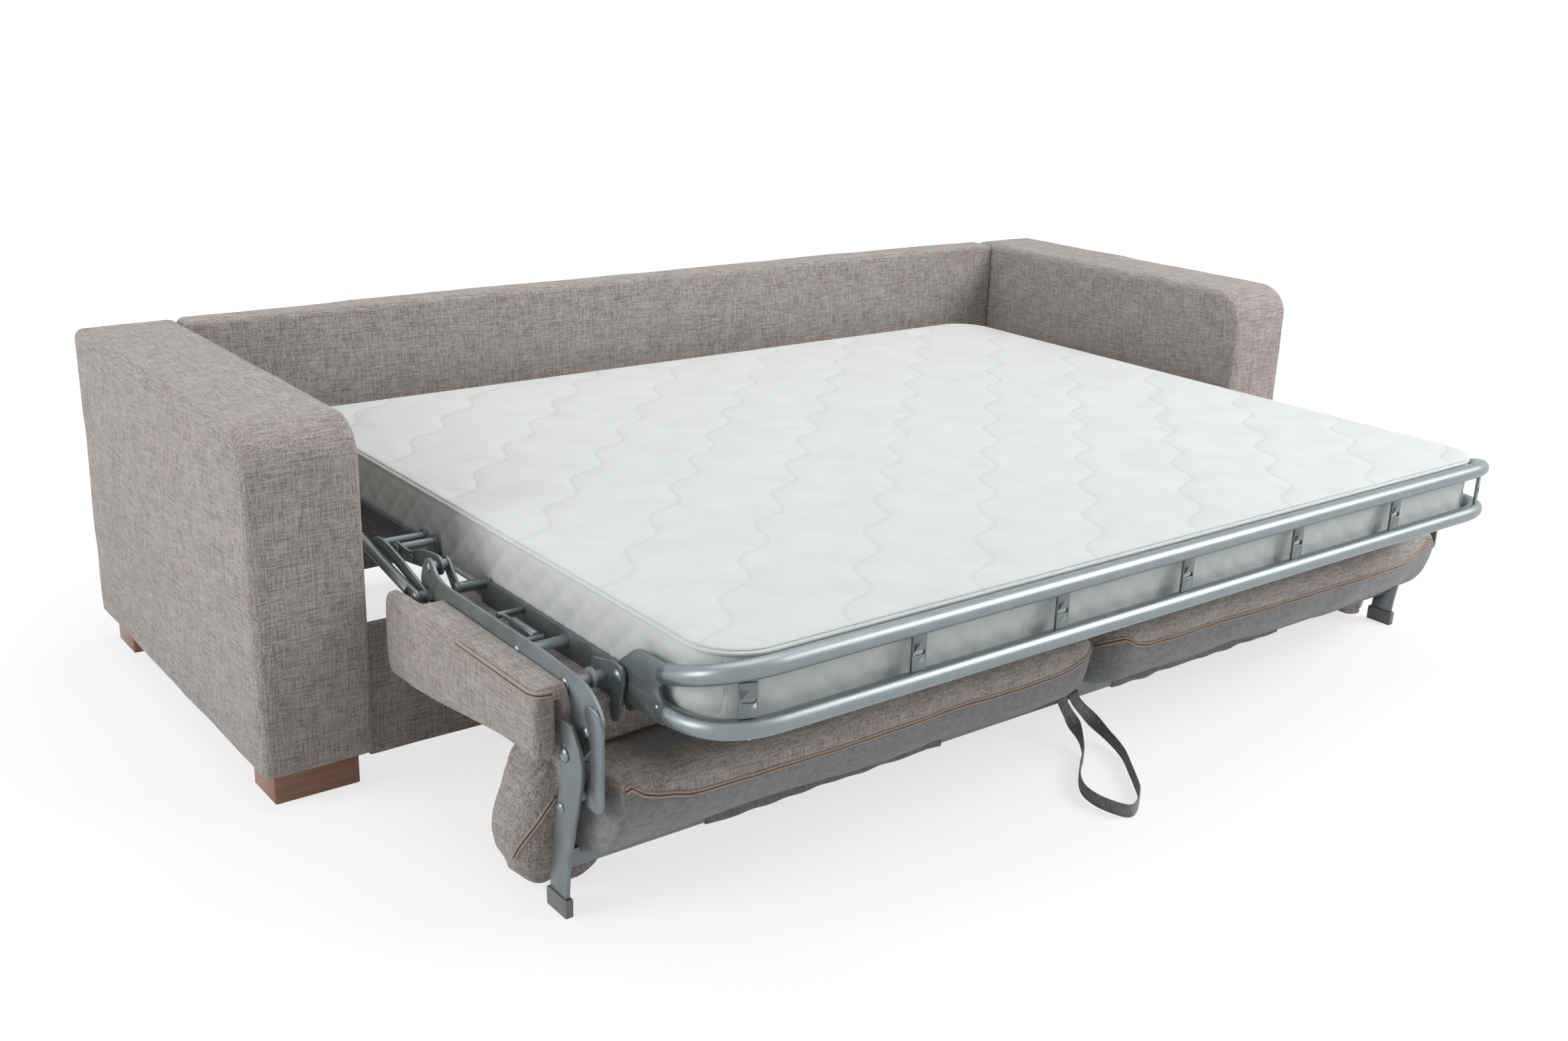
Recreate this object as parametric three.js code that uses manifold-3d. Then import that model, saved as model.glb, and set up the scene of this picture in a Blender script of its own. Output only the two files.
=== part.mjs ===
// Sofa bed, shown open. The seat and the back tip forwards as one and turn upside down under the
// bed, on a steel linkage at each side. Millimetres, +Z up, +X to the sitter's left, -Y towards
// the foot of the bed. While building, y = 0 is the front plane of the arms.
import * as THREE from 'three';
import * as BufferGeometryUtils from 'three/addons/utils/BufferGeometryUtils.js';
import Module from 'manifold-3d';

const wasm = await Module();
wasm.setup();

// Driving dimensions of the upholstered body
const arm = { width: 187, depth: 871, top: 621, cornerRadius: 66, lowRadius: 14, edge: 14 };
const woodFoot = { height: 53, inset: 22, depth: 93 };
const backrest = { depth: 67, bottom: 58, edge: 13 };
const frontRail = { y: 28, thickness: 12, bottom: 40, top: 271, edge: 3 };

// Driving dimensions of the mattress and the bed frame
const mattress = { width: 1800, top: 452, frontY: -732, gapBehind: 84, corner: 84, edge: 9 };
const railShape = { thickness: 4, bottom: 318, height: 41, ledge: 42 };

// Driving dimensions of the linkage: pivots in the plane of one side
const linkBack = { y: 83, z: 367 };
const linkFront = { y: -70, z: 386 };
const tieFront = { y: -74, z: 342 };
const tieBackY = 125;
const liftPinPlace = { beforeBack: 290, z: 345 };
const liftPairDistance = 250;
const liftReach = 150;
const bedDrop = 276;
const seatFrontWhenClosed = 30;
const footPivot = { y: -526, z: 354 };
const backPivot = { y: -524, z: 257 };

// Clearances and fasteners, shared by every piece
const seat = 0.3;
const pinPlay = 0.5;
const overrun = 5;
const pinRadius = 6;
const bossRadius = 9;
const rivet = { radius: 10.5, height: 4 };
const half = 0.5;

// Planes of the side pieces, counted outwards from the side of the mattress
const outFromMattress = {
  rail: 5, footBlade: 14.5, bumper: 17, endPlate: 23, stayRod: 45, bracePlate: 56, foldLink: 70, seatArm: 85,
  strut: 95, tieBar: 98, liftLink: 98, leg: 105, tieTube: 115, arm: 161,
};
const mattressX = mattress.width * half;
const rail = { ...railShape, x: mattressX + outFromMattress.rail };
const footBlade = { x: mattressX + outFromMattress.footBlade, thickness: 5 };
const endPlate = { x: mattressX + outFromMattress.endPlate, thickness: 5 };
const bracePlate = { x: mattressX + outFromMattress.bracePlate, thickness: 4 };
const foldLink = { x: mattressX + outFromMattress.foldLink, thickness: 4 };
const seatArm = { x: mattressX + outFromMattress.seatArm, thickness: 5 };
const strut = { x: mattressX + outFromMattress.strut, thickness: 4 };
const tieBar = { x: mattressX + outFromMattress.tieBar, thickness: 4, radius: 12 };
const liftLink = { x: mattressX + outFromMattress.liftLink, thickness: 5, radius: 13 };
const leg = { x: mattressX + outFromMattress.leg, thickness: 6 };
const tieTube = { x: mattressX + outFromMattress.tieTube, radius: 9, endThickness: 6 };
const innerX = mattressX + outFromMattress.arm;

// Places worked out from the driving dimensions
const mattressBackY = arm.depth - backrest.depth - mattress.gapBehind;
const liftPin = { y: mattressBackY - liftPinPlace.beforeBack, z: liftPinPlace.z };
const seatCushionBackY = -20;
const turned = {
  y: linkBack.y + linkFront.y + linkFront.z - linkBack.z,
  z: linkBack.z + linkFront.z + linkBack.y - linkFront.y,
};
const bedShift = seatFrontWhenClosed + seatCushionBackY - turned.y;
const tieTurned = { y: turned.y - tieFront.y, z: turned.z - tieFront.z };
const tieMiddle = { y: (tieFront.y + tieTurned.y) * half, z: (tieFront.z + tieTurned.z) * half };
const tieSlope = (tieTurned.y - tieFront.y) / (tieTurned.z - tieFront.z);
const tieBack = { y: tieBackY, z: tieMiddle.z - (tieBackY - tieMiddle.y) * tieSlope };
const liftChord = Math.hypot(bedShift, bedDrop);
const liftBase = {
  y: liftPin.y + bedShift * half - liftReach * bedDrop / liftChord,
  z: liftPin.z - bedDrop * half - liftReach * bedShift / liftChord,
};

// Colours
const fabricTaupe = 0x9a8f8b;
const woodBrown = 0xa0694a;
const steelGrey = 0x6f7a7c;
const zincGrey = 0xa9adad;
const mattressWhite = 0xe9ebe6;
const plasticGrey = 0x6c706c;

const part = new THREE.Group();
part.name = 'sofa_bed';

// Mesh helpers

function plainCopy(geometry) {
  const copy = geometry.clone();
  copy.deleteAttribute('normal');
  copy.deleteAttribute('uv');
  return BufferGeometryUtils.mergeVertices(copy, 0.0001);
}

function indexed(positions, triangles) {
  const geometry = new THREE.BufferGeometry();
  geometry.setAttribute('position', new THREE.BufferAttribute(new Float32Array(positions), 3));
  geometry.setIndex(new THREE.BufferAttribute(new Uint32Array(triangles), 1));
  return geometry;
}

function solidOf(geometry) {
  const plain = plainCopy(geometry);
  return new wasm.Manifold(new wasm.Mesh({
    numProp: 3,
    vertProperties: new Float32Array(plain.attributes.position.array),
    triVerts: new Uint32Array(plain.index.array),
  }));
}

function geometryOf(solid) {
  const mesh = solid.getMesh();
  return indexed(mesh.vertProperties, mesh.triVerts);
}

function joined(geometries) {
  let solid = solidOf(geometries[0]);
  for (const geometry of geometries.slice(1)) {
    solid = solid.add(solidOf(geometry));
  }
  return geometryOf(solid);
}

function cut(geometry, cutters) {
  let solid = solidOf(geometry);
  for (const cutter of cutters) {
    solid = solid.subtract(solidOf(cutter));
  }
  return geometryOf(solid);
}

function reversed(triangles) {
  const turnedRound = Array.from(triangles);
  for (let i = 0; i < turnedRound.length; i += 3) {
    turnedRound[i] = triangles[i + 1];
    turnedRound[i + 1] = triangles[i];
  }
  return turnedRound;
}

function mirrored(geometry) {
  const plain = plainCopy(geometry);
  plain.scale(-1, 1, 1);
  return indexed(plain.attributes.position.array, reversed(plain.index.array));
}

// A closed mesh with its faces turned outwards, whichever way they were listed
function outwards(positions, triangles) {
  const a = new THREE.Vector3();
  const b = new THREE.Vector3();
  const c = new THREE.Vector3();
  let volume = 0;
  for (let i = 0; i < triangles.length; i += 3) {
    a.fromArray(positions, triangles[i] * 3);
    b.fromArray(positions, triangles[i + 1] * 3);
    c.fromArray(positions, triangles[i + 2] * 3);
    volume += a.dot(b.cross(c));
  }
  return indexed(positions, volume < 0 ? reversed(triangles) : triangles);
}

function addPiece(name, geometry, color, roughness, metalness) {
  const material = new THREE.MeshStandardMaterial({ color, roughness, metalness });
  const mesh = new THREE.Mesh(geometry, material);
  mesh.name = name;
  part.add(mesh);
}

const addFabric = (name, geometry) => addPiece(name, geometry, fabricTaupe, 0.95, 0);
const addSteel = (name, geometry) => addPiece(name, geometry, steelGrey, 0.45, 0.6);
const addZinc = (name, geometry) => addPiece(name, geometry, zincGrey, 0.35, 0.8);
const addWood = (name, geometry) => addPiece(name, geometry, woodBrown, 0.55, 0);
const addTicking = (name, geometry) => addPiece(name, geometry, mattressWhite, 0.9, 0);
const addPlastic = (name, geometry) => addPiece(name, geometry, plasticGrey, 0.7, 0);

// A piece on the +X side and its mirror image on the other side
function addPair(add, name, geometry) {
  add(name + '_right', geometry);
  add(name + '_left', mirrored(geometry));
}

// Shape helpers

function block(x0, x1, y0, y1, z0, z1) {
  const geometry = new THREE.BoxGeometry(x1 - x0, y1 - y0, z1 - z0);
  geometry.translate((x0 + x1) * half, (y0 + y1) * half, (z0 + z1) * half);
  return geometry;
}

// A closed outline whose corners are rounded, each by its own radius or by one for all
function roundedShape(points, radius) {
  const shape = new THREE.Shape();
  const count = points.length;
  points.forEach((point, i) => {
    const corner = new THREE.Vector2(...point);
    const before = new THREE.Vector2(...points[(i + count - 1) % count]);
    const after = new THREE.Vector2(...points[(i + 1) % count]);
    const wanted = Array.isArray(radius) ? radius[i] : radius;
    const reach = Math.min(wanted, corner.distanceTo(before) * 0.49, corner.distanceTo(after) * 0.49);
    const start = before.clone().sub(corner).setLength(reach).add(corner);
    const end = after.clone().sub(corner).setLength(reach).add(corner);
    if (i === 0) {
      shape.moveTo(start.x, start.y);
    } else {
      shape.lineTo(start.x, start.y);
    }
    if (reach > 0) {
      shape.quadraticCurveTo(corner.x, corner.y, end.x, end.y);
    }
  });
  return shape;
}

// A curved bar with round ends, from stations that each give y, z and the half width there
function ribbon(stations, steps) {
  const curve = new THREE.CatmullRomCurve3(stations.map((station) => new THREE.Vector3(...station)));
  const points = curve.getPoints(steps);
  const sideOf = (i, sign) => {
    const before = points[Math.max(i - 1, 0)];
    const after = points[Math.min(i + 1, steps)];
    const across = new THREE.Vector2(before.y - after.y, after.x - before.x).normalize();
    return across.multiplyScalar(sign * points[i].z).add(new THREE.Vector2(points[i].x, points[i].y));
  };
  const capSteps = 6;
  const capOf = (i, sign) => {
    const edge = sideOf(i, sign);
    const middle = new THREE.Vector2(points[i].x, points[i].y);
    const cap = [];
    for (let step = 1; step < capSteps; step += 1) {
      cap.push(edge.clone().rotateAround(middle, -Math.PI * step / capSteps));
    }
    return cap;
  };
  const upper = points.map((point, i) => sideOf(i, 1));
  const lower = points.map((point, i) => sideOf(i, -1)).reverse();
  return new THREE.Shape([...upper, ...capOf(steps, 1), ...lower, ...capOf(0, -1)].reverse());
}

function holeAt(shape, pivot, radius) {
  const ring = roundSection(radius, 12).map(([y, z]) => new THREE.Vector2(pivot.y + y, pivot.z + z));
  shape.holes.push(new THREE.Path(ring));
}

// Lays a solid extruded in its own XY plane into the side plane, from x0 outwards
function onSide(geometry, x0) {
  geometry.applyMatrix4(new THREE.Matrix4().set(
    0, 0, 1, x0,
    1, 0, 0, 0,
    0, 1, 0, 0,
    0, 0, 0, 1,
  ));
  return geometry;
}

function sidePlate(shape, x0, thickness, curveSegments = 4) {
  const settings = { depth: thickness, bevelEnabled: false, curveSegments };
  return onSide(new THREE.ExtrudeGeometry(shape, settings), x0);
}

// A side-view outline with soft edges, drawn out along X between two ends
function softBoard(points, radius, x0, x1, edge, curveSegments = 6, steps = 1) {
  const geometry = new THREE.ExtrudeGeometry(roundedShape(points, radius), {
    depth: x1 - x0 - edge * 2,
    steps,
    bevelEnabled: true,
    bevelThickness: edge,
    bevelSize: edge,
    bevelSegments: 3,
    curveSegments,
  });
  return onSide(geometry, x0 + edge);
}

// Corners of a rectangle in the side plane, pulled in by the soft edge that is added back
function sideCorners(y0, y1, z0, z1, edge) {
  return [[y0 + edge, z0 + edge], [y1 - edge, z0 + edge], [y1 - edge, z1 - edge], [y0 + edge, z1 - edge]];
}

// A round bar along X
function crossPin(pivot, x0, x1, radius, sides = 12) {
  const geometry = new THREE.CylinderGeometry(radius, radius, Math.abs(x1 - x0), sides);
  geometry.rotateZ(Math.PI * half);
  geometry.translate((x0 + x1) * half, pivot.y, pivot.z);
  return geometry;
}

// A domed rivet head along X, its flat side at x0 and its crown at x1
function rivetHead(pivot, x0, x1, radius = rivet.radius) {
  const crownShare = 0.6;
  const geometry = new THREE.CylinderGeometry(radius * crownShare, radius, Math.abs(x1 - x0), 10);
  geometry.rotateZ(x1 > x0 ? -Math.PI * half : Math.PI * half);
  geometry.translate((x0 + x1) * half, pivot.y, pivot.z);
  return geometry;
}

// A flat link with round ends and a hole on each of its two pivots
function linkPlate(from, to, x0, thickness, radius) {
  const length = Math.hypot(to.y - from.y, to.z - from.z);
  const shape = new THREE.Shape();
  shape.absarc(0, 0, radius, Math.PI * half, Math.PI * 1.5, false);
  shape.absarc(length, 0, radius, -Math.PI * half, Math.PI * half, false);
  holeAt(shape, { y: 0, z: 0 }, pinRadius + pinPlay);
  holeAt(shape, { y: length, z: 0 }, pinRadius + pinPlay);
  const geometry = sidePlate(shape, x0, thickness, 6);
  geometry.rotateX(Math.atan2(to.z - from.z, to.y - from.y));
  geometry.translate(0, from.y, from.z);
  return geometry;
}

function roundSection(radius, count) {
  const ring = [];
  for (let i = 0; i < count; i += 1) {
    const angle = i / count * Math.PI * 2;
    ring.push([Math.cos(angle) * radius, Math.sin(angle) * radius]);
  }
  return ring;
}

// A closed sweep of a section along centres, with a side and an up vector at each of them
function sweep(centres, sides, ups, section) {
  const positions = [];
  const triangles = [];
  const ring = section.length;
  centres.forEach((centre, i) => {
    for (const [across, up] of section) {
      const point = centre.clone().addScaledVector(sides[i], across).addScaledVector(ups[i], up);
      positions.push(point.x, point.y, point.z);
    }
  });
  for (let i = 0; i + 1 < centres.length; i += 1) {
    for (let j = 0; j < ring; j += 1) {
      const a = i * ring + j;
      const b = i * ring + (j + 1) % ring;
      triangles.push(a, a + ring, b, b, a + ring, b + ring);
    }
  }
  const last = (centres.length - 1) * ring;
  for (let j = 1; j + 1 < ring; j += 1) {
    triangles.push(0, j, j + 1);
    triangles.push(last, last + j + 1, last + j);
  }
  return outwards(positions, triangles);
}

// Upholstered arms
{
  const low = woodFoot.height + seat;
  const points = sideCorners(0, arm.depth, low, arm.top, arm.edge);
  const radii = [arm.lowRadius, arm.lowRadius, arm.cornerRadius, arm.cornerRadius];
  addPair(addFabric, 'arm', softBoard(points, radii, innerX, innerX + arm.width, arm.edge, 6));
}

// Low backrest between the arms
{
  const x = innerX - seat;
  const frontY = arm.depth - backrest.depth;
  const points = sideCorners(frontY, arm.depth, backrest.bottom, arm.top, backrest.edge);
  addFabric('backrest', softBoard(points, backrest.edge, -x, x, backrest.edge, 4));
}

// Fabric-covered front rail, held between the arms
{
  const x = innerX - seat;
  const backY = frontRail.y + frontRail.thickness;
  const points = sideCorners(frontRail.y, backY, frontRail.bottom, frontRail.top, frontRail.edge);
  addFabric('front_rail', softBoard(points, frontRail.edge, -x, x, frontRail.edge, 3));
}

// Wooden feet under the arms
{
  const x0 = innerX + woodFoot.inset;
  const x1 = innerX + arm.width - woodFoot.inset;
  const frontY = woodFoot.inset;
  const rearY = arm.depth - woodFoot.inset - woodFoot.depth;
  addPair(addWood, 'foot_front', block(x0, x1, frontY, frontY + woodFoot.depth, 0, woodFoot.height));
  addPair(addWood, 'foot_rear', block(x0, x1, rearY, rearY + woodFoot.depth, 0, woodFoot.height));
}

// Bearer plates on the inside of the arms, with the base pivots of the two lift links
const bearer = { thickness: 6, above: 25, below: 25, ahead: 40, corner: 20 };
const bearerX = innerX - seat - bearer.thickness;
const liftPivots = [liftBase, { y: liftBase.y + liftPairDistance, z: liftBase.z }];
{
  const y0 = liftBase.y - bearer.ahead;
  const y1 = liftBase.y + liftPairDistance + bearer.ahead;
  const z0 = liftBase.z - bearer.below;
  const z1 = liftBase.z + bearer.above;
  const shape = roundedShape([[y0, z0], [y1, z0], [y1, z1], [y0, z1]], bearer.corner);
  const pieces = [sidePlate(shape, bearerX, bearer.thickness)];
  const linkInner = liftLink.x - seat;
  const linkOuter = liftLink.x + liftLink.thickness + seat;
  for (const pivot of liftPivots) {
    pieces.push(crossPin(pivot, linkOuter, bearerX + seat, bossRadius));
    pieces.push(crossPin(pivot, linkInner - rivet.height * half, linkOuter + seat, pinRadius));
    pieces.push(rivetHead(pivot, linkInner, linkInner - rivet.height));
  }
  addPair(addSteel, 'bearer_plate', joined(pieces));
}

// Lift links, two parallel ones at each side
const liftEnds = [liftPin, { y: liftPin.y + liftPairDistance, z: liftPin.z }];
['lift_link_front', 'lift_link_rear'].forEach((name, i) => {
  const plate = linkPlate(liftPivots[i], liftEnds[i], liftLink.x, liftLink.thickness, liftLink.radius);
  addPair(addSteel, name, plate);
});

// Angle rail: an upright flange beside the mattress and a ledge under it
const ledgeTop = rail.bottom + rail.thickness;
const railTop = rail.bottom + rail.height;
const railOuter = rail.x + rail.thickness;
function angleRail(y0, y1) {
  const shape = new THREE.Shape();
  shape.moveTo(railOuter - rail.ledge, rail.bottom);
  shape.lineTo(railOuter, rail.bottom);
  shape.lineTo(railOuter, railTop);
  shape.lineTo(rail.x, railTop);
  shape.lineTo(rail.x, ledgeTop);
  shape.lineTo(railOuter - rail.ledge, ledgeTop);
  shape.closePath();
  const geometry = new THREE.ExtrudeGeometry(shape, { depth: y1 - y0, bevelEnabled: false });
  geometry.rotateX(Math.PI * half);
  geometry.translate(0, y1, 0);
  return geometry;
}

// An upright ear on a rail, round at the top about its pivot
const earRadius = 13;
function ear(pivot) {
  const shape = new THREE.Shape();
  shape.moveTo(pivot.y - earRadius, ledgeTop - seat);
  shape.lineTo(pivot.y + earRadius, ledgeTop - seat);
  shape.absarc(pivot.y, pivot.z, earRadius, 0, Math.PI, false);
  shape.closePath();
  return sidePlate(shape, rail.x, rail.thickness, 6);
}

// A pin that stands out of a rail: a boss up to the first plate and a riveted end past the last
function railPivot(pivot, plateX, outerX) {
  return [
    crossPin(pivot, rail.x + seat, plateX - seat, bossRadius),
    crossPin(pivot, rail.x + seat, outerX + seat + rivet.height * half, pinRadius),
    rivetHead(pivot, outerX + seat, outerX + seat + rivet.height),
  ];
}

// Head rails with the pivots of the fold link, the tie link and the lift links
const headRailFrontY = linkBack.y - earRadius;
const headRailBackY = mattressBackY - earRadius * half;
const tieHead = { height: 3.4 };
{
  const tieOuter = tieBar.x + tieBar.thickness + seat;
  const pieces = [
    angleRail(headRailFrontY, headRailBackY),
    ear(linkBack),
    ear(tieBack),
    ...railPivot(linkBack, foldLink.x, foldLink.x + foldLink.thickness),
    crossPin(tieBack, rail.x + seat, tieBar.x - seat, bossRadius),
    crossPin(tieBack, rail.x + seat, tieOuter + tieHead.height * half, pinRadius),
    rivetHead(tieBack, tieOuter, tieOuter + tieHead.height),
  ];
  for (const pivot of liftEnds) {
    pieces.push(...railPivot(pivot, liftLink.x, liftLink.x + liftLink.thickness));
  }
  addPair(addSteel, 'head_rail', joined(pieces));
}

// Curved fold links: a wide end on the front pivot and a saddle before the back pivot
{
  const run = linkBack.y - linkFront.y;
  const rise = linkBack.z - linkFront.z;
  const endRadius = 14;
  // Share of the run, height off the line of the pivots and half width, as shares of the end radius
  const stationShares = [[0, 0, 1.14], [0.22, 0.12, 1.1], [0.44, -0.02, 0.96], [0.66, -0.34, 0.72],
    [0.84, -0.2, 0.82], [1, 0, 1]];
  const stations = stationShares.map(([along, height, width]) => [
    linkFront.y + along * run,
    linkFront.z + along * rise + height * endRadius,
    width * endRadius,
  ]);
  const shape = ribbon(stations, 14);
  holeAt(shape, linkFront, pinRadius + pinPlay);
  holeAt(shape, linkBack, pinRadius + pinPlay);
  const dotShare = 0.64;
  const dot = { y: linkFront.y + run * dotShare, z: linkFront.z + rise * dotShare - endRadius * 0.3 };
  const outer = foldLink.x + foldLink.thickness;
  addPair(addSteel, 'fold_link', joined([
    sidePlate(shape, foldLink.x, foldLink.thickness, 4),
    rivetHead(dot, outer - seat, outer + rivet.height * half, rivet.radius * half),
  ]));
}

// Tie links: an arched flat bar between the pivots, with a tube beside it that is riveted on at
// the front end and runs on past the back pivot
const tieTubeFlatX = tieTube.x - tieTube.endThickness * half;
const tieFrontOuter = tieTube.x + tieTube.endThickness * half;
const tieTubeReach = 253;
const tieTubeTilt = 0.18;
{
  const arch = 20;
  const run = tieBack.y - tieFront.y;
  const rise = tieBack.z - tieFront.z;
  // Share of the run and share of the arch above the line of the pivots
  const archShares = [[0, 0], [0.22, 0.5], [0.5, 0.95], [0.82, 1], [1, 0]];
  const narrow = tieBar.radius * 0.9;
  const stations = archShares.map(([along, height]) => [
    tieFront.y + along * run,
    tieFront.z + along * rise + height * arch,
    height === 0 ? tieBar.radius : narrow,
  ]);
  const barShape = ribbon(stations, 14);
  holeAt(barShape, tieBack, pinRadius + pinPlay);
  const flatLength = tieBar.radius * 2.4;
  const flatShape = new THREE.Shape();
  flatShape.absarc(0, 0, tieBar.radius, Math.PI * half, Math.PI * 1.5, false);
  flatShape.lineTo(flatLength, -tieTube.radius);
  flatShape.lineTo(flatLength, tieTube.radius);
  flatShape.closePath();
  const tubeStart = flatLength - overrun;
  const tube = new THREE.CylinderGeometry(tieTube.radius, tieTube.radius, tieTubeReach - tubeStart, 14);
  tube.translate(tieTube.x, (tieTubeReach + tubeStart) * half, 0);
  const tubeWithEnd = joined([tube, sidePlate(flatShape, tieTubeFlatX, tieTube.endThickness, 8)]);
  tubeWithEnd.rotateX(tieTubeTilt);
  tubeWithEnd.translate(0, tieFront.y, tieFront.z);
  addPair(addSteel, 'tie_link', joined([
    sidePlate(barShape, tieBar.x, tieBar.thickness),
    tubeWithEnd,
    crossPin(tieFront, tieBar.x + seat, tieFrontOuter - seat, bossRadius),
    rivetHead(tieFront, tieFrontOuter - seat, tieFrontOuter + rivet.height),
  ]));
}

// Middle rails, each with a brace plate at the back and an end plate with the foot pivot
const brace = { y: -100, z: 354, radius: 12 };
const middleRailBackY = -88;
const middleRailInset = 10;
const middleRailFrontY = footPivot.y + middleRailInset;
// Corners of the end plate as offsets from the foot pivot
const endPlateOutline = [[71, -32], [71, 5], [14, 18], [-15, 18], [-15, -9], [4, -72], [17, -70], [17, -32]];
const endSpacer = { nearY: 27, farY: 55, below: 14 };
const endPlateSpacers = [
  { y: footPivot.y + endSpacer.nearY, z: footPivot.z - endSpacer.below },
  { y: footPivot.y + endSpacer.farY, z: footPivot.z - endSpacer.below },
];
{
  const corners = endPlateOutline.map(([y, z]) => [footPivot.y + y, footPivot.z + z]);
  const shape = roundedShape(corners, [4, 8, 8, 14, 10, 6, 6, 3]);
  const bladeInner = footBlade.x - seat;
  const endOuter = endPlate.x + endPlate.thickness;
  const braceOuter = bracePlate.x + bracePlate.thickness;
  const braceShape = ribbon([[brace.y, brace.z, brace.radius], [linkFront.y, linkFront.z, brace.radius]], 2);
  const pieces = [
    angleRail(middleRailFrontY, middleRailBackY),
    sidePlate(shape, endPlate.x, endPlate.thickness),
    crossPin(footPivot, bladeInner - rivet.height * half, endPlate.x + seat, pinRadius),
    rivetHead(footPivot, bladeInner, bladeInner - rivet.height),
    rivetHead(footPivot, endOuter - seat, endOuter + rivet.height),
    sidePlate(braceShape, bracePlate.x, bracePlate.thickness),
    crossPin(brace, rail.x + seat, bracePlate.x + seat, bossRadius),
    rivetHead(brace, braceOuter - seat, braceOuter + rivet.height),
    crossPin(linkFront, bracePlate.x + seat, foldLink.x - seat, bossRadius),
    crossPin(linkFront, bracePlate.x + seat, seatArm.x - seat, pinRadius),
    crossPin(linkFront, foldLink.x + foldLink.thickness + seat, seatArm.x - seat, bossRadius),
  ];
  for (const spacer of endPlateSpacers) {
    pieces.push(crossPin(spacer, rail.x + seat, endPlate.x + seat, bossRadius * 0.8));
  }
  addPair(addSteel, 'middle_rail', joined(pieces));
}

// Outer seat arms: a bracket at the back, a long blade, and a curved front end over the leg.
// The outlines are offsets from the front fold pivot, and from the back pivot for the front end.
const blade = { top: 372, bottom: 328 };
const bracketOutline = [[-35, -58], [18, -56], [31, -29], [22, -6], [10, 14], [-10, 14], [-22, -4], [-46, -14]];
const bracketRadii = [8, 14, 14, 10, 10, 10, 12, 20];
const noseOutline = [[84, 115], [-8, 110], [-46, 96], [-70, 64], [-52, 36], [-16, -4], [-9, -15], [12, -15], [14, 16], [16, 71]];
const noseRadii = [30, 40, 22, 24, 20, 12, 12, 14, 20, 6];
const studs = { radius: 8, below: 9, back: 172, front: 36 };
const studZ = footPivot.z - studs.below;
// Rivets on the front end, counted from the back pivot
const upperRivet = { ahead: 46, above: 74 };
const lowerRivet = { ahead: 23, above: 37 };
const noseRivets = [
  { y: backPivot.y - upperRivet.ahead, z: backPivot.z + upperRivet.above, share: 1 },
  { y: backPivot.y - lowerRivet.ahead, z: backPivot.z + lowerRivet.above, share: 0.8 },
];
{
  const bracket = bracketOutline.map(([y, z]) => [linkFront.y + y, linkFront.z + z]);
  const nose = noseOutline.map(([y, z]) => [backPivot.y + y, backPivot.z + z]);
  const shape = roundedShape([...bracket, ...nose], [...bracketRadii, ...noseRadii]);
  const inner = seatArm.x;
  const outer = seatArm.x + seatArm.thickness;
  const legOuter = leg.x + leg.thickness + seat;
  const backStudInner = railOuter + seat;
  const frontStudInner = endPlate.x + endPlate.thickness + seat;
  const backStud = { y: footPivot.y + studs.back, z: studZ };
  const frontStud = { y: footPivot.y + studs.front, z: studZ };
  const discX = bracePlate.x - overrun;
  const pieces = [
    sidePlate(shape, inner, seatArm.thickness, 4),
    crossPin(backPivot, inner + seat, legOuter + rivet.height * half, pinRadius),
    crossPin(backPivot, outer - seat, leg.x - seat, bossRadius),
    rivetHead(backPivot, legOuter, legOuter + rivet.height),
    crossPin(tieFront, outer - seat, tieBar.x - seat, bossRadius),
    rivetHead(linkFront, outer - seat, outer + rivet.height, rivet.radius * 0.8),
    crossPin(backStud, backStudInner, inner + seat, studs.radius),
    crossPin(frontStud, frontStudInner, inner + seat, studs.radius),
    crossPin(frontStud, discX - overrun, discX, studs.radius * 1.9),
    rivetHead(backStud, outer - seat, outer + rivet.height),
    rivetHead(frontStud, outer - seat, outer + rivet.height),
  ];
  for (const place of noseRivets) {
    pieces.push(rivetHead(place, outer - seat, outer + rivet.height, rivet.radius * place.share));
  }
  addPair(addSteel, 'seat_arm', joined(pieces));
}

// Stay rods between the middle rail and the seat arm
const stay = { x: mattressX + outFromMattress.stayRod, radius: 4, bodyRadius: 8, backY: -222, frontY: -338, z: 349, stud: 5 };
{
  const length = stay.backY - stay.frontY;
  const bodyLength = length * 0.6;
  const rod = new THREE.CylinderGeometry(stay.radius, stay.radius, length, 10);
  rod.translate(stay.x, (stay.backY + stay.frontY) * half, stay.z);
  const body = new THREE.CylinderGeometry(stay.bodyRadius, stay.bodyRadius, bodyLength, 12);
  body.translate(stay.x, stay.frontY + stay.bodyRadius + bodyLength * half, stay.z);
  const rear = { y: stay.backY - stay.stud * half, z: stay.z };
  const front = { y: stay.frontY + stay.stud * half, z: stay.z };
  addPair(addZinc, 'stay_rod', joined([
    rod,
    body,
    crossPin(rear, railOuter + seat, stay.x + stay.bodyRadius, stay.stud),
    crossPin(front, stay.x - stay.bodyRadius, seatArm.x - seat, stay.stud),
  ]));
}

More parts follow.
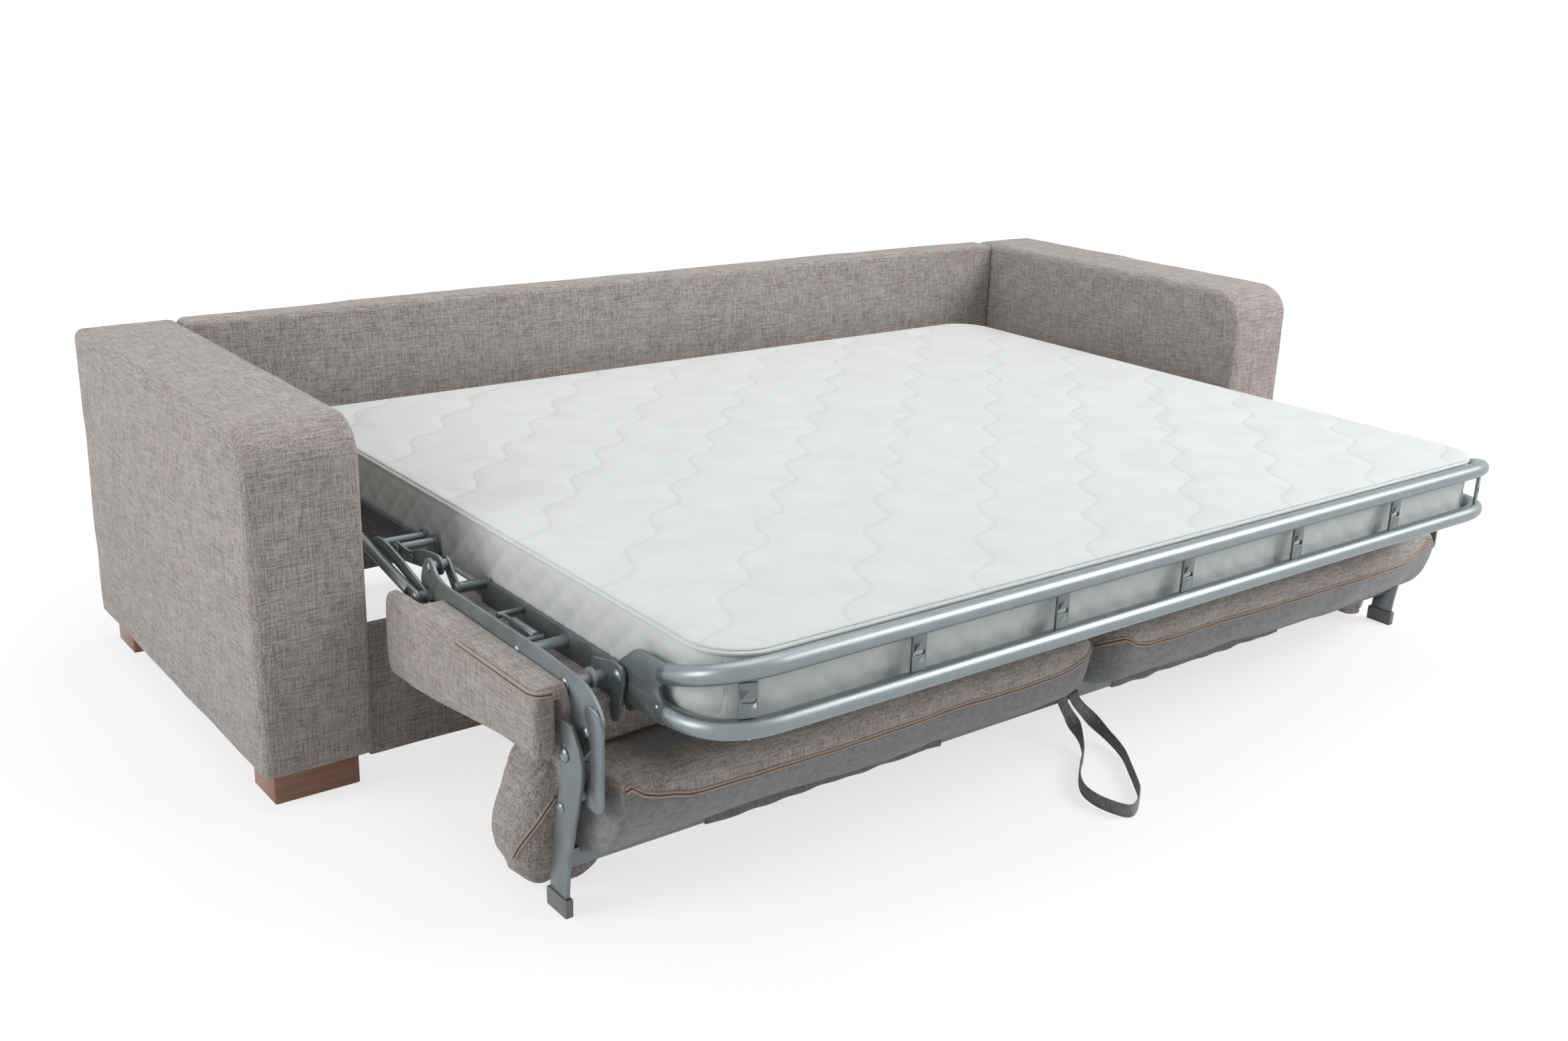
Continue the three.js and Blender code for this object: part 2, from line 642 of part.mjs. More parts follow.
// Welded wire mesh: crossing wires as one flat net, which lies on the ledges of the rails
const wire = 4;
const meshBottom = ledgeTop + seat;
const meshTop = meshBottom + wire;
function wireMesh(reachX, y0, y1, columns, rows) {
  const edges = (low, high, count) => {
    const pitch = (high - low - wire) / count;
    const places = [];
    for (let i = 0; i <= count; i += 1) {
      places.push(low + i * pitch, low + i * pitch + wire);
    }
    return places;
  };
  const xs = edges(-reachX, reachX, columns);
  const ys = edges(y0, y1, rows);
  const positions = [];
  const triangles = [];
  for (const y of ys) {
    for (const x of xs) {
      positions.push(x, y, meshBottom, x, y, meshTop);
    }
  }
  const corner = (i, j, up) => ((j * xs.length) + i) * 2 + up;
  const quad = (a, b, c, d) => triangles.push(a, b, c, a, c, d);
  const wall = (i0, j0, i1, j1) => {
    quad(corner(i0, j0, 0), corner(i1, j1, 0), corner(i1, j1, 1), corner(i0, j0, 1));
  };
  const isInside = (i, j) => i >= 0 && j >= 0 && i < xs.length - 1 && j < ys.length - 1;
  const isWire = (i, j) => isInside(i, j) && (i % 2 === 0 || j % 2 === 0);
  for (let j = 0; j < ys.length - 1; j += 1) {
    for (let i = 0; i < xs.length - 1; i += 1) {
      if (!isWire(i, j)) {
        continue;
      }
      quad(corner(i, j, 1), corner(i + 1, j, 1), corner(i + 1, j + 1, 1), corner(i, j + 1, 1));
      quad(corner(i, j, 0), corner(i, j + 1, 0), corner(i + 1, j + 1, 0), corner(i + 1, j, 0));
      if (!isWire(i, j - 1)) {
        wall(i, j, i + 1, j);
      }
      if (!isWire(i, j + 1)) {
        wall(i + 1, j + 1, i, j + 1);
      }
      if (!isWire(i - 1, j)) {
        wall(i, j + 1, i, j);
      }
      if (!isWire(i + 1, j)) {
        wall(i + 1, j, i + 1, j + 1);
      }
    }
  }
  return indexed(positions, triangles);
}
const meshX = rail.x - seat;
const meshColumns = 12;
addZinc('head_mesh', wireMesh(meshX, headRailFrontY, headRailBackY, meshColumns, 4));
addZinc('middle_mesh', wireMesh(meshX, middleRailFrontY, middleRailBackY, meshColumns, 3));

// Cross tubes under the ledges
const crossTube = { radius: 12, beforeBack: 38, behindFoot: 7 };
{
  const z = rail.bottom - seat - crossTube.radius;
  const x = rail.x;
  addSteel('head_cross_tube', crossPin({ y: mattressBackY - crossTube.beforeBack, z }, -x, x, crossTube.radius, 16));
  addSteel('middle_cross_tube', crossPin({ y: footPivot.y + crossTube.behindFoot, z }, -x, x, crossTube.radius, 16));
}

// The mattress, cut where the frame folds. The strip over the fold links bends when the bed closes.
const mattressBottom = meshTop + seat;
const mattressCut = { fold: 1, foot: 4 };
{
  const inset = mattress.edge;
  const x = mattressX - inset;
  const front = mattress.frontY + inset;
  const back = mattressBackY - inset;
  const outline = roundedShape([[-x, front], [x, front], [x, back], [-x, back]], mattress.corner - inset);
  const whole = new THREE.ExtrudeGeometry(outline, {
    depth: mattress.top - mattressBottom - inset * 2,
    bevelEnabled: true,
    bevelThickness: inset,
    bevelSize: inset,
    bevelSegments: 3,
    curveSegments: 7,
  });
  whole.translate(0, 0, mattressBottom + inset);
  const solid = solidOf(whole);
  const addSection = (name, y0, y1) => {
    const box = block(-innerX, innerX, y0, y1, mattressBottom - overrun, mattress.top + overrun);
    addTicking(name, geometryOf(solid.intersect(solidOf(box))));
  };
  addSection('mattress_head', linkBack.y + mattressCut.fold, mattressBackY + overrun);
  addSection('mattress_fold', linkFront.y + mattressCut.fold, linkBack.y - mattressCut.fold);
  addSection('mattress_middle', footPivot.y + mattressCut.foot, linkFront.y - mattressCut.fold);
  addSection('mattress_foot', mattress.frontY - overrun, footPivot.y - mattressCut.foot);
}

// Seat cushions, upside down under the middle section while the bed is open. The outer lip rises
// past the seat arm, is chamfered at the back to clear the tie link, and is slit for the leg.
const cushionRoom = { seat: 15, lip: 66, back: 25 };
const seatCushion = {
  frontY: -505, bottom: 249, x: innerX - cushionRoom.seat, lipX: innerX - cushionRoom.lip, lipTop: 352,
  edge: 10, gap: 6, crown: 7,
};
const lipChamfer = { backRise: 41, middleY: -60, middleRise: 65, startY: -130 };
const legSlit = { depth: 21, play: 4 };
{
  const c = seatCushion;
  const e = c.edge;
  const core = sideCorners(c.frontY, seatCushionBackY, c.bottom, rail.bottom - seat, e);
  const boxed = plainCopy(softBoard(core, e, c.gap * half, c.x, e, 3, 8));
  // The sitting face, which is the lower one here, is crowned between the edges
  const p = boxed.attributes.position;
  const reachX = (c.x - c.gap * half) * half;
  const reachY = (seatCushionBackY - c.frontY) * half;
  for (let i = 0; i < p.count; i += 1) {
    const u = Math.min(Math.abs(p.getX(i) - c.x + reachX) / reachX, 1);
    const v = Math.min(Math.abs(p.getY(i) - c.frontY - reachY) / reachY, 1);
    const depth = (rail.bottom - seat - p.getZ(i)) / (rail.bottom - seat - c.bottom);
    p.setZ(i, p.getZ(i) - depth * c.crown * (1 - u ** 4) * (1 - v ** 4));
  }
  const lipPoints = [
    [c.frontY + e, c.bottom + e],
    [seatCushionBackY - e, c.bottom + e],
    [seatCushionBackY - e, c.bottom + lipChamfer.backRise - e],
    [lipChamfer.middleY - e, c.bottom + lipChamfer.middleRise - e],
    [lipChamfer.startY - e, c.lipTop - e],
    [c.frontY + e, c.lipTop - e],
  ];
  const lip = softBoard(lipPoints, e, c.lipX, c.x, e, 2);
  const slitX0 = leg.x - legSlit.play;
  const slitX1 = leg.x + leg.thickness + legSlit.play;
  const slitTop = c.lipTop - e * 2;
  const slit = block(slitX0, slitX1, c.frontY - overrun, c.frontY + legSlit.depth, c.bottom - e * 2, slitTop);
  addPair(addFabric, 'seat_cushion', cut(joined([boxed, lip]), [slit]));
}

// Bumper at the foot: two stacked tubes with round corners, welded to the foot blades
const bumperAhead = 20;
const bumper = {
  x: mattressX + outFromMattress.bumper, y: mattress.frontY - bumperAhead, radius: 14.5, bend: 104, startY: -628,
};
const upperTube = { z: 431, startZ: 394 };
const lowerTube = { z: 346, startZ: 337 };
const bendRiseShare = 0.15;
function bumperBend(tube, sign) {
  const b = bumper;
  return new THREE.QuadraticBezierCurve3(
    new THREE.Vector3(sign * (b.x - b.bend), b.y, tube.z),
    new THREE.Vector3(sign * b.x, b.y, tube.z),
    new THREE.Vector3(sign * b.x, b.y + b.bend, tube.startZ + (tube.z - tube.startZ) * bendRiseShare),
  );
}
function bumperTube(tube) {
  const bendSteps = 8;
  const leftBend = bumperBend(tube, -1).getPoints(bendSteps).reverse();
  const rightBend = bumperBend(tube, 1).getPoints(bendSteps);
  const leftEnd = new THREE.Vector3(-bumper.x, bumper.startY, tube.startZ);
  const rightEnd = new THREE.Vector3(bumper.x, bumper.startY, tube.startZ);
  const centres = [leftEnd, ...leftBend, ...rightBend, rightEnd];
  const up = new THREE.Vector3(0, 0, 1);
  const last = centres.length - 1;
  const sides = centres.map((centre, i) => {
    const along = centres[Math.min(i + 1, last)].clone().sub(centres[Math.max(i - 1, 0)]);
    return along.setZ(0).normalize().cross(up);
  });
  return sweep(centres, sides, centres.map(() => up), roundSection(bumper.radius, 12));
}

// Springs from the lower tube to the front wire of the foot mesh, each with its curls and its hook
const spring = { count: 12, curls: 2, radius: 5, wire: 1.2, length: 50 };
const springReachShare = 0.927;
const footMeshX = rail.x - overrun;
const footMeshFrontY = bumper.y + spring.length;
function springAt(x) {
  const stepsPerCurl = 8;
  const z = mattressBottom - seat - spring.radius - spring.wire;
  const y0 = bumper.y + spring.wire;
  const y1 = footMeshFrontY - seat - spring.wire;
  const centres = [];
  const sides = [];
  const ups = [];
  const count = spring.curls * stepsPerCurl;
  for (let i = 0; i <= count; i += 1) {
    const angle = i / stepsPerCurl * Math.PI * 2;
    const out = new THREE.Vector3(Math.cos(angle), 0, Math.sin(angle));
    const centre = new THREE.Vector3(x, y0 + (y1 - y0) * i / count, z);
    centres.push(centre.addScaledVector(out, spring.radius));
    sides.push(out);
    ups.push(new THREE.Vector3(0, 1, 0));
  }
  const hook = new THREE.CylinderGeometry(spring.wire, spring.wire, lowerTube.z - z, 5);
  hook.rotateX(Math.PI * half);
  hook.translate(x + spring.radius, y0, (lowerTube.z + z) * half);
  return [sweep(centres, sides, ups, roundSection(spring.wire, 5)), hook];
}
{
  addSteel('bumper_upper_tube', bumperTube(upperTube));
  const pieces = [bumperTube(lowerTube)];
  for (let i = 0; i < spring.count; i += 1) {
    pieces.push(...springAt((i / (spring.count - 1) * 2 - 1) * bumper.x * springReachShare));
  }
  addSteel('bumper_lower_tube', joined(pieces));
}

// Posts between the two tubes, each with a slotted hole. The outer ones stand on the bends.
const post = { width: 26, thickness: 5, count: 7, slotWidth: 8, slotLength: 22 };
const postReachShare = 0.9422;
{
  const w = post.slotWidth * half;
  const h = post.slotLength * half;
  const wide = post.width * half;
  const bendShare = (x) => 1 - Math.sqrt(1 - Math.max(x - bumper.x + bumper.bend, 0) / bumper.bend);
  for (let i = 0; i < post.count; i += 1) {
    const x = (i / (post.count - 1) * 2 - 1) * bumper.x * postReachShare;
    const share = bendShare(Math.abs(x));
    const turn = Math.sign(x) * Math.atan2(share, 1 - share);
    const middleY = bumperBend(upperTube, 1).getPoint(share).y;
    const upper = bumperBend(upperTube, 1).getPoint(bendShare(Math.abs(x) + wide));
    const lower = bumperBend(lowerTube, 1).getPoint(bendShare(Math.abs(x) - wide));
    const z0 = lower.z + bumper.radius + seat * 2;
    const z1 = upper.z - bumper.radius - seat * 2;
    const middle = (z0 + z1) * half;
    const shape = new THREE.Shape();
    shape.moveTo(-wide, z0);
    shape.lineTo(wide, z0);
    shape.lineTo(wide, z1);
    shape.lineTo(-wide, z1);
    shape.closePath();
    const slot = new THREE.Path();
    slot.absarc(w - h, middle, w, Math.PI * half, Math.PI * 1.5, false);
    slot.absarc(h - w, middle, w, -Math.PI * half, Math.PI * half, false);
    shape.holes.push(slot);
    const bar = new THREE.ExtrudeGeometry(shape, { depth: post.thickness, bevelEnabled: false, curveSegments: 4 });
    bar.translate(0, 0, -post.thickness * half);
    bar.rotateX(Math.PI * half);
    bar.rotateZ(turn);
    bar.translate(x, middleY, 0);
    addSteel('bumper_post_' + (i + 1), bar);
  }
}

// Foot blades, from the foot pivot to the bumper tubes, each with a ledge for the foot mesh
const footLedge = { backY: -534, frontY: -626 };
{
  const frontY = bumper.startY + seat;
  const r = bumper.radius;
  const bite = (upperTube.startZ + lowerTube.startZ) * half;
  const shape = roundedShape([
    [footPivot.y + r, footPivot.z - r],
    [footPivot.y + r, footPivot.z + r],
    [footPivot.y - r * 2.5, upperTube.startZ + r],
    [frontY, upperTube.startZ + r],
    [frontY, upperTube.startZ - r],
    [frontY + r, bite],
    [frontY, lowerTube.startZ + r],
    [frontY, rail.bottom],
    [footLedge.backY, rail.bottom],
  ], [r, r, r, 2, 2, r, 2, 2, 6]);
  holeAt(shape, footPivot, pinRadius + pinPlay);
  const bladeOuter = footBlade.x + footBlade.thickness;
  const ledgeX0 = railOuter - rail.ledge;
  const ledge = block(ledgeX0, bladeOuter - seat, footLedge.frontY, footLedge.backY - r * half, rail.bottom, ledgeTop);
  const lug = { y: frontY + r, z: lowerTube.startZ };
  addPair(addSteel, 'foot_blade', joined([
    sidePlate(shape, footBlade.x, footBlade.thickness, 6),
    ledge,
    rivetHead(lug, bladeOuter - seat, bladeOuter + rivet.height * half, rivet.radius * 0.6),
  ]));
}
addZinc('foot_mesh', wireMesh(footMeshX, footMeshFrontY, footLedge.backY, meshColumns, 1));

// Legs, which are also the uprights of the back frame, in plastic end caps
const legShape = { baseY: -475, width: 46, lean: 37, top: 306 };
const legCap = { height: 29, wall: 2.5, floor: 3 };
const legRivet = { behind: 12, below: 86 };
// Share of the height, then of the lean at the rear edge, then of the width
const legShares = [[0, 0, 1], [0.27, 0.22, 1], [0.485, 0.6, 1.04], [0.683, 0.89, 1.17], [0.78, 0.97, 1.26],
  [0.9, 1, 1.09], [1, 1, 0.61]];
{
  const low = legCap.floor + seat;
  const place = ([h, lean, width], front) => new THREE.Vector2(
    legShape.baseY - lean * legShape.lean - (front ? width * legShape.width : 0),
    low + h * (legShape.top - low),
  );
  const back = legShares.map((share) => place(share, false));
  const front = legShares.map((share) => place(share, true)).reverse();
  const shape = new THREE.Shape();
  shape.moveTo(back[0].x, back[0].y);
  shape.splineThru(back.slice(1));
  shape.lineTo(front[0].x, front[0].y);
  shape.splineThru(front.slice(1));
  shape.closePath();
  holeAt(shape, backPivot, pinRadius + pinPlay);
  const outer = leg.x + leg.thickness;
  const lowRivet = { y: backPivot.y + legRivet.behind, z: backPivot.z - legRivet.below };
  addPair(addSteel, 'leg', joined([
    sidePlate(shape, leg.x, leg.thickness, 3),
    rivetHead(lowRivet, outer - seat, outer + rivet.height, rivet.radius * 0.7),
  ]));
  const leanOverCap = legShape.lean * 0.1;
  const capBackY = legShape.baseY + legCap.wall + seat;
  const capFrontY = legShape.baseY - legShape.width - leanOverCap - legCap.wall - seat;
  const capInner = leg.x - seat;
  const capOuter = outer + seat;
  const outline = [[capBackY, 0], [capBackY, legCap.height], [capFrontY, legCap.height], [capFrontY, 0]];
  const cap = sidePlate(roundedShape(outline, legCap.wall), capInner - legCap.wall, capOuter - capInner + legCap.wall * 2);
  const pocketBackY = capBackY - legCap.wall;
  const pocketFrontY = capFrontY + legCap.wall;
  const pocket = block(capInner, capOuter, pocketFrontY, pocketBackY, legCap.floor, legCap.height + overrun);
  addPair(addPlastic, 'leg_cap', cut(cap, [pocket]));
}

// Angle crossbar between the legs
const crossbar = { y: -511, z: 70, size: 29, thickness: 3 };
{
  const c = crossbar;
  const shape = new THREE.Shape();
  shape.moveTo(c.y, c.z);
  shape.lineTo(c.y + c.thickness, c.z);
  shape.lineTo(c.y + c.thickness, c.z + c.size - c.thickness);
  shape.lineTo(c.y + c.size, c.z + c.size - c.thickness);
  shape.lineTo(c.y + c.size, c.z + c.size);
  shape.lineTo(c.y, c.z + c.size);
  shape.closePath();
  const x = leg.x - seat;
  addSteel('back_crossbar', sidePlate(shape, -x, x * 2));
}

// Struts that brace the legs, hooked round in front of them. Corners are offsets from the back pivot.
const strutOutline = [[-38, 88], [-66, 83], [-79, 65], [-79, -57], [-66, -67], [-16, -67], [-14, -37], [-48, -25],
  [-50, 43], [-31, 73]];
const strutPin = { ahead: 27, below: 52, corner: 12 };
const strutFoot = { y: backPivot.y - strutPin.ahead, z: backPivot.z - strutPin.below };
{
  const corners = strutOutline.map(([y, z]) => [backPivot.y + y, backPivot.z + z]);
  addPair(addSteel, 'strut', joined([
    sidePlate(roundedShape(corners, strutPin.corner), strut.x, strut.thickness),
    crossPin(strutFoot, strut.x + seat, leg.x - seat, bossRadius),
  ]));
}

// Back cushions, hung on the crossbar behind and between the legs
const backCushion = { edge: 22, gap: 6, x: innerX - cushionRoom.back, crown: 10, legRoom: 7, backY: -348, frontY: -618, low: 12 };
{
  const c = backCushion;
  const e = c.edge;
  const rest = crossbar.z + crossbar.size + seat;
  const top = seatCushion.bottom - seatCushion.crown - seat * 2;
  const barBack = crossbar.y + crossbar.size + overrun;
  const outline = [
    [c.backY - e, (c.low + top) * half],
    [c.backY - e * 2.6, c.low + e],
    [barBack + e, c.low + e],
    [barBack + e, rest + e],
    [crossbar.y - e * 1.6, rest + e],
    [c.frontY + e, top - e * 2.6],
    [c.frontY + e, top - e],
    [c.backY - e * 2.6, top - e],
  ];
  const radii = [e * 2, e, e * 0.3, 0, e * half, e, e * half, e];
  const pillow = plainCopy(softBoard(outline, radii, c.gap * half, c.x, e, 3, 6));
  const middleX = (c.gap * half + c.x) * half;
  const p = pillow.attributes.position;
  for (let i = 0; i < p.count; i += 1) {
    const u = (p.getX(i) - middleX) / (c.x - middleX);
    const behind = p.getY(i) > barBack + e * 2 ? 1 : 0;
    p.setY(i, p.getY(i) - behind * c.crown * u ** 4);
  }
  const notchX = strut.x - c.legRoom;
  const notchBackY = legShape.baseY + c.legRoom;
  const notch = block(notchX, c.x + overrun, c.frontY - overrun, notchBackY, 0, seatCushion.lipTop);
  addPair(addFabric, 'back_cushion', cut(pillow, [notch]));
}

// Pull strap: a flat loop, sewn to the crossbar and lying forward on the floor on its edge.
// Each stop is x, the distance in front of the crossbar, and the height as a share of the fall.
const strap = { width: 24, thickness: 3, sewnZ: 84 };
const strapStops = [
  [0, 0, 1], [2, 5, 0.78], [10, 18, 0.44], [4, 48, 0.14], [-22, 80, 0], [-65, 114, 0], [-102, 146, 0],
  [-126, 178, 0], [-134, 213, 0], [-130, 245, 0], [-119, 268, 0], [-98, 266, 0], [-58, 238, 0],
  [-28, 203, 0], [-4, 172, 0], [14, 149, 0], [32, 124, 0], [47, 93, 0.03], [56, 58, 0.12],
  [50, 24, 0.4], [34, 5, 0.76], [30, 0, 1],
];
{
  const faceY = crossbar.y - seat * 2 - strap.thickness * half;
  const floorZ = (strap.width + strap.thickness) * half;
  const route = strapStops.map(([x, ahead, share]) => (
    new THREE.Vector3(x, faceY - ahead, floorZ + (strap.sewnZ - floorZ) * share)
  ));
  const curve = new THREE.CatmullRomCurve3(route);
  const steps = 64;
  const centres = curve.getSpacedPoints(steps);
  const sides = [];
  const ups = [];
  centres.forEach((centre, i) => {
    const before = centres[Math.max(i - 1, 0)];
    const after = centres[Math.min(i + 1, steps)];
    const along = after.clone().sub(before).normalize();
    const rise = THREE.MathUtils.smoothstep(centre.z, floorZ, strap.sewnZ * 0.8);
    const side = new THREE.Vector3(rise, 0, 1 - rise);
    side.addScaledVector(along, -side.dot(along)).normalize();
    sides.push(side);
    ups.push(side.clone().cross(along).normalize());
  });
  const w = strap.width * half;
  const t = strap.thickness * half;
  addFabric('pull_strap', sweep(centres, sides, ups, [[-w, -t], [w, -t], [w, t], [-w, t]]));
}

// The origin is on the floor, under the middle of the sofa and the bed
const reachY = bumper.y - bumper.radius;
part.position.y = -(arm.depth + reachY) * half;

export default part;
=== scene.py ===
"""Looks of a sofa bed, shown open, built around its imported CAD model.

Sizes in the drawing are millimetres, with y = 0 at the front of the arms; row() turns them into metres in
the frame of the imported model.
"""

import math

import bpy
import numpy as np
from bpy.props import FloatProperty, FloatVectorProperty, IntProperty, PointerProperty
from mathutils import Matrix, Vector
from mathutils.bvhtree import BVHTree


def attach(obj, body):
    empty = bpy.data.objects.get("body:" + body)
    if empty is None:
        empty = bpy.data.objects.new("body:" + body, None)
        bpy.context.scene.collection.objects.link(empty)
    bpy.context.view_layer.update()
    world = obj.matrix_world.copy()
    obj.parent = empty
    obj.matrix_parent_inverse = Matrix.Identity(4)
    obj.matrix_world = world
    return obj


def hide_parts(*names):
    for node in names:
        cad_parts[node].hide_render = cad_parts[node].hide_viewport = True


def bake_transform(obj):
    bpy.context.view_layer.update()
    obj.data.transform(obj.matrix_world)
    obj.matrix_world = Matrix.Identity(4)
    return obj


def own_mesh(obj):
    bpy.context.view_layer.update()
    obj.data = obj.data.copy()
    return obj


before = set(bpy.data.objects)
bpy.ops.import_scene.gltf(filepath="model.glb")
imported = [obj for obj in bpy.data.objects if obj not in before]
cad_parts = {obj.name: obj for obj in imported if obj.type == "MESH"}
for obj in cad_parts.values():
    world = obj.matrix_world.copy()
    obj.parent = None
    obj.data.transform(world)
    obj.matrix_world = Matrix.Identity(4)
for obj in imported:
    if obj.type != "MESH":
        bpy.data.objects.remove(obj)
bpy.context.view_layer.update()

bl_info = {
    "name": "Sofa bed",
    "version": (1, 0, 0),
    "blender": (4, 5, 0),
    "location": "View3D > Sidebar > Sofa bed",
    "description": "Upholstery, mattress and finishes of a sofa bed around its packed model",
    "category": "Object",
}

MILLIMETRE = 0.001
DRAWING_SHIFT = -52.25
SIDES = (("right", 1), ("left", -1))


# Settings

def colour(name, text, value):
    return FloatVectorProperty(name=name, description=text, subtype="COLOR", size=3, min=0, max=1, default=value)


class CoverSettings(bpy.types.PropertyGroup):
    thread: colour("Thread", "Middle colour of the woven cover", (0.31, 0.272, 0.258))
    dark_thread: colour("Dark thread", "Darkest threads of the melange", (0.125, 0.102, 0.1))
    light_thread: colour("Light thread", "Lightest threads of the melange", (0.58, 0.53, 0.5))
    gusset: colour("Gusset", "Middle colour of the grey gussets", (0.205, 0.2, 0.205))
    tape: colour("Tape", "Colour of the zip tape and the piping", (0.46, 0.37, 0.31))
    pitch: FloatProperty(name="Thread pitch", description="Distance between threads", unit="LENGTH", default=0.0014)
    puff: FloatProperty(name="Puff", description="Swell of the arms' panels", unit="LENGTH", default=0.004)


class MattressSettings(bpy.types.PropertyGroup):
    ticking: colour("Ticking", "Colour of the mattress cover", (0.69, 0.715, 0.7))
    pitch: FloatProperty(name="Quilt pitch", description="Distance between the quilting lines, measured along x",
                         unit="LENGTH", default=0.245)
    wave: FloatProperty(name="Quilt wave", description="Swing of the quilting lines", unit="LENGTH", default=0.021)
    puff: FloatProperty(name="Quilt puff", description="Swell between the quilting lines", unit="LENGTH",
                        default=0.0024)
    grid: FloatProperty(name="Grid", description="Spacing of the mesh on the mattress", unit="LENGTH", default=0.006)


class SteelSettings(bpy.types.PropertyGroup):
    paint: colour("Paint", "Colour of the painted steel", (0.17, 0.195, 0.2))
    zinc: colour("Zinc", "Colour of the plated wire and rivets", (0.56, 0.57, 0.57))
    bevel: FloatProperty(name="Bevel", description="Rounding of the plates' edges", unit="LENGTH", default=0.0008)
    curls: IntProperty(name="Curls", description="Turns of each spring", default=11, min=3, max=30)


class TrimSettings(bpy.types.PropertyGroup):
    wood: colour("Wood", "Light grain of the stained feet", (0.31, 0.14, 0.072))
    dark_wood: colour("Dark wood", "Dark grain of the stained feet", (0.17, 0.07, 0.033))
    wood_bevel: FloatProperty(name="Wood bevel", description="Rounding of the feet's edges", unit="LENGTH",
                              default=0.0025)
    plastic: colour("Plastic", "Light specks of the leg caps", (0.2, 0.205, 0.19))
    dark_plastic: colour("Dark plastic", "Dark specks of the leg caps", (0.14, 0.145, 0.135))
    stitching: colour("Stitching", "Light side of the zips' stitching", (0.1, 0.085, 0.08))
    dark_stitching: colour("Dark stitching", "Dark side of the zips' stitching", (0.05, 0.042, 0.04))


class StageSettings(bpy.types.PropertyGroup):
    side: FloatProperty(name="Side light", description="Power of the soft light on the left", unit="POWER", default=76)
    front: FloatProperty(name="Front light", description="Power of the soft light at the right", unit="POWER",
                         default=150)
    above: FloatProperty(name="Top light", description="Power of the soft light above", unit="POWER", default=60)
    fill: FloatProperty(name="Fill light", description="Strength of the light from all round", min=0, max=1,
                        default=0.31)
    lens: FloatProperty(name="Lens", description="Focal length of the camera", unit="CAMERA", default=37.28)


class SofaBedSettings(bpy.types.PropertyGroup):
    cover: PointerProperty(name="Cover", description="The woven cover and its trim", type=CoverSettings)
    mattress: PointerProperty(name="Mattress", description="The quilted mattress", type=MattressSettings)
    steel: PointerProperty(name="Steel", description="The folding frame", type=SteelSettings)
    trim: PointerProperty(name="Trim", description="Feet, leg caps and stitching", type=TrimSettings)
    stage: PointerProperty(name="Stage", description="Lights and lens", type=StageSettings)


# Shader maths

class Value:
    """A number in a material's nodes that can be used in Python sums."""

    def __init__(self, nodes, socket):
        self.nodes = nodes
        self.socket = socket

    def _sum(self, operation, first, second=None):
        node = self.nodes.tree.nodes.new("ShaderNodeMath")
        node.operation = operation
        for slot, item in zip(node.inputs, (first, second)):
            self.nodes.feed(slot, item)
        return Value(self.nodes, node.outputs[0])

    def __add__(self, other):
        return self._sum("ADD", self, other)

    def __radd__(self, other):
        return self._sum("ADD", other, self)

    def __sub__(self, other):
        return self._sum("SUBTRACT", self, other)

    def __rsub__(self, other):
        return self._sum("SUBTRACT", other, self)

    def __mul__(self, other):
        return self._sum("MULTIPLY", self, other)

    def __rmul__(self, other):
        return self._sum("MULTIPLY", other, self)

    def __truediv__(self, other):
        return self._sum("DIVIDE", self, other)

    def __pow__(self, other):
        return self._sum("POWER", self, other)

    def __rtruediv__(self, other):
        return self._sum("DIVIDE", other, self)

    def sine(self):
        return self._sum("SINE", self)

    def absolute(self):
        return self._sum("ABSOLUTE", self)

    def remainder(self, other):
        return self._sum("FLOORED_MODULO", self, other)

    def power_of_e(self):
        return self._sum("EXPONENT", self)


class Nodes:
    """The node tree of a material or a world, and its shader."""

    def __init__(self, owner, shader="Principled BSDF"):
        owner.use_nodes = True
        self.owner = owner
        self.tree = owner.node_tree
        self.shader = self.tree.nodes[shader]

    def feed(self, slot, item):
        if isinstance(item, Value):
            self.tree.links.new(item.socket, slot)
        elif isinstance(item, bpy.types.NodeSocket):
            self.tree.links.new(item, slot)
        elif item is not None:
            slot.default_value = item

    def node(self, kind, settings=None, inputs=None, output=0):
        node = self.tree.nodes.new(kind)
        for key, value in (settings or {}).items():
            setattr(node, key, value)
        for key, item in (inputs or {}).items():
            self.feed(node.inputs[key], item)
        return node.outputs[output]

    def places(self):
        return self.node("ShaderNodeTexCoord", output="Object")

    def noise(self, scale, detail=2.0, roughness=0.5, stretch=(1, 1, 1)):
        """Noise of a scale per metre, finer along the axes that stretch multiplies."""
        spots = self.node("ShaderNodeMapping", None, {"Vector": self.places(), "Scale": stretch})
        inputs = {"Vector": spots, "Scale": scale, "Detail": detail, "Roughness": roughness}
        return Value(self, self.node("ShaderNodeTexNoise", None, inputs, "Fac"))

    def mix(self, factor, first, second):
        settings = {"data_type": "RGBA"}
        return self.node("ShaderNodeMix", settings, {0: factor, 6: first, 7: second}, 2)

    def range(self, value, low, high):
        """0 below low, 1 above high."""
        settings = {"clamp": True}
        inputs = {"Value": value, "From Min": low, "From Max": high}
        return Value(self, self.node("ShaderNodeMapRange", settings, inputs))

    def bump(self, height, distance, strength=1.0):
        inputs = {"Height": height, "Distance": distance, "Strength": strength}
        self.feed(self.shader.inputs["Normal"], self.node("ShaderNodeBump", None, inputs))

    def set(self, **inputs):
        for key, item in inputs.items():
            self.feed(self.shader.inputs[key.replace("_", " ")], item)
        return self.owner


def rgba(value):
    """A colour with full alpha, as a colour socket takes it."""
    return (*value, 1.0)


def settings():
    """The sizes and colours that a user may change."""
    return bpy.context.scene.sofa_bed


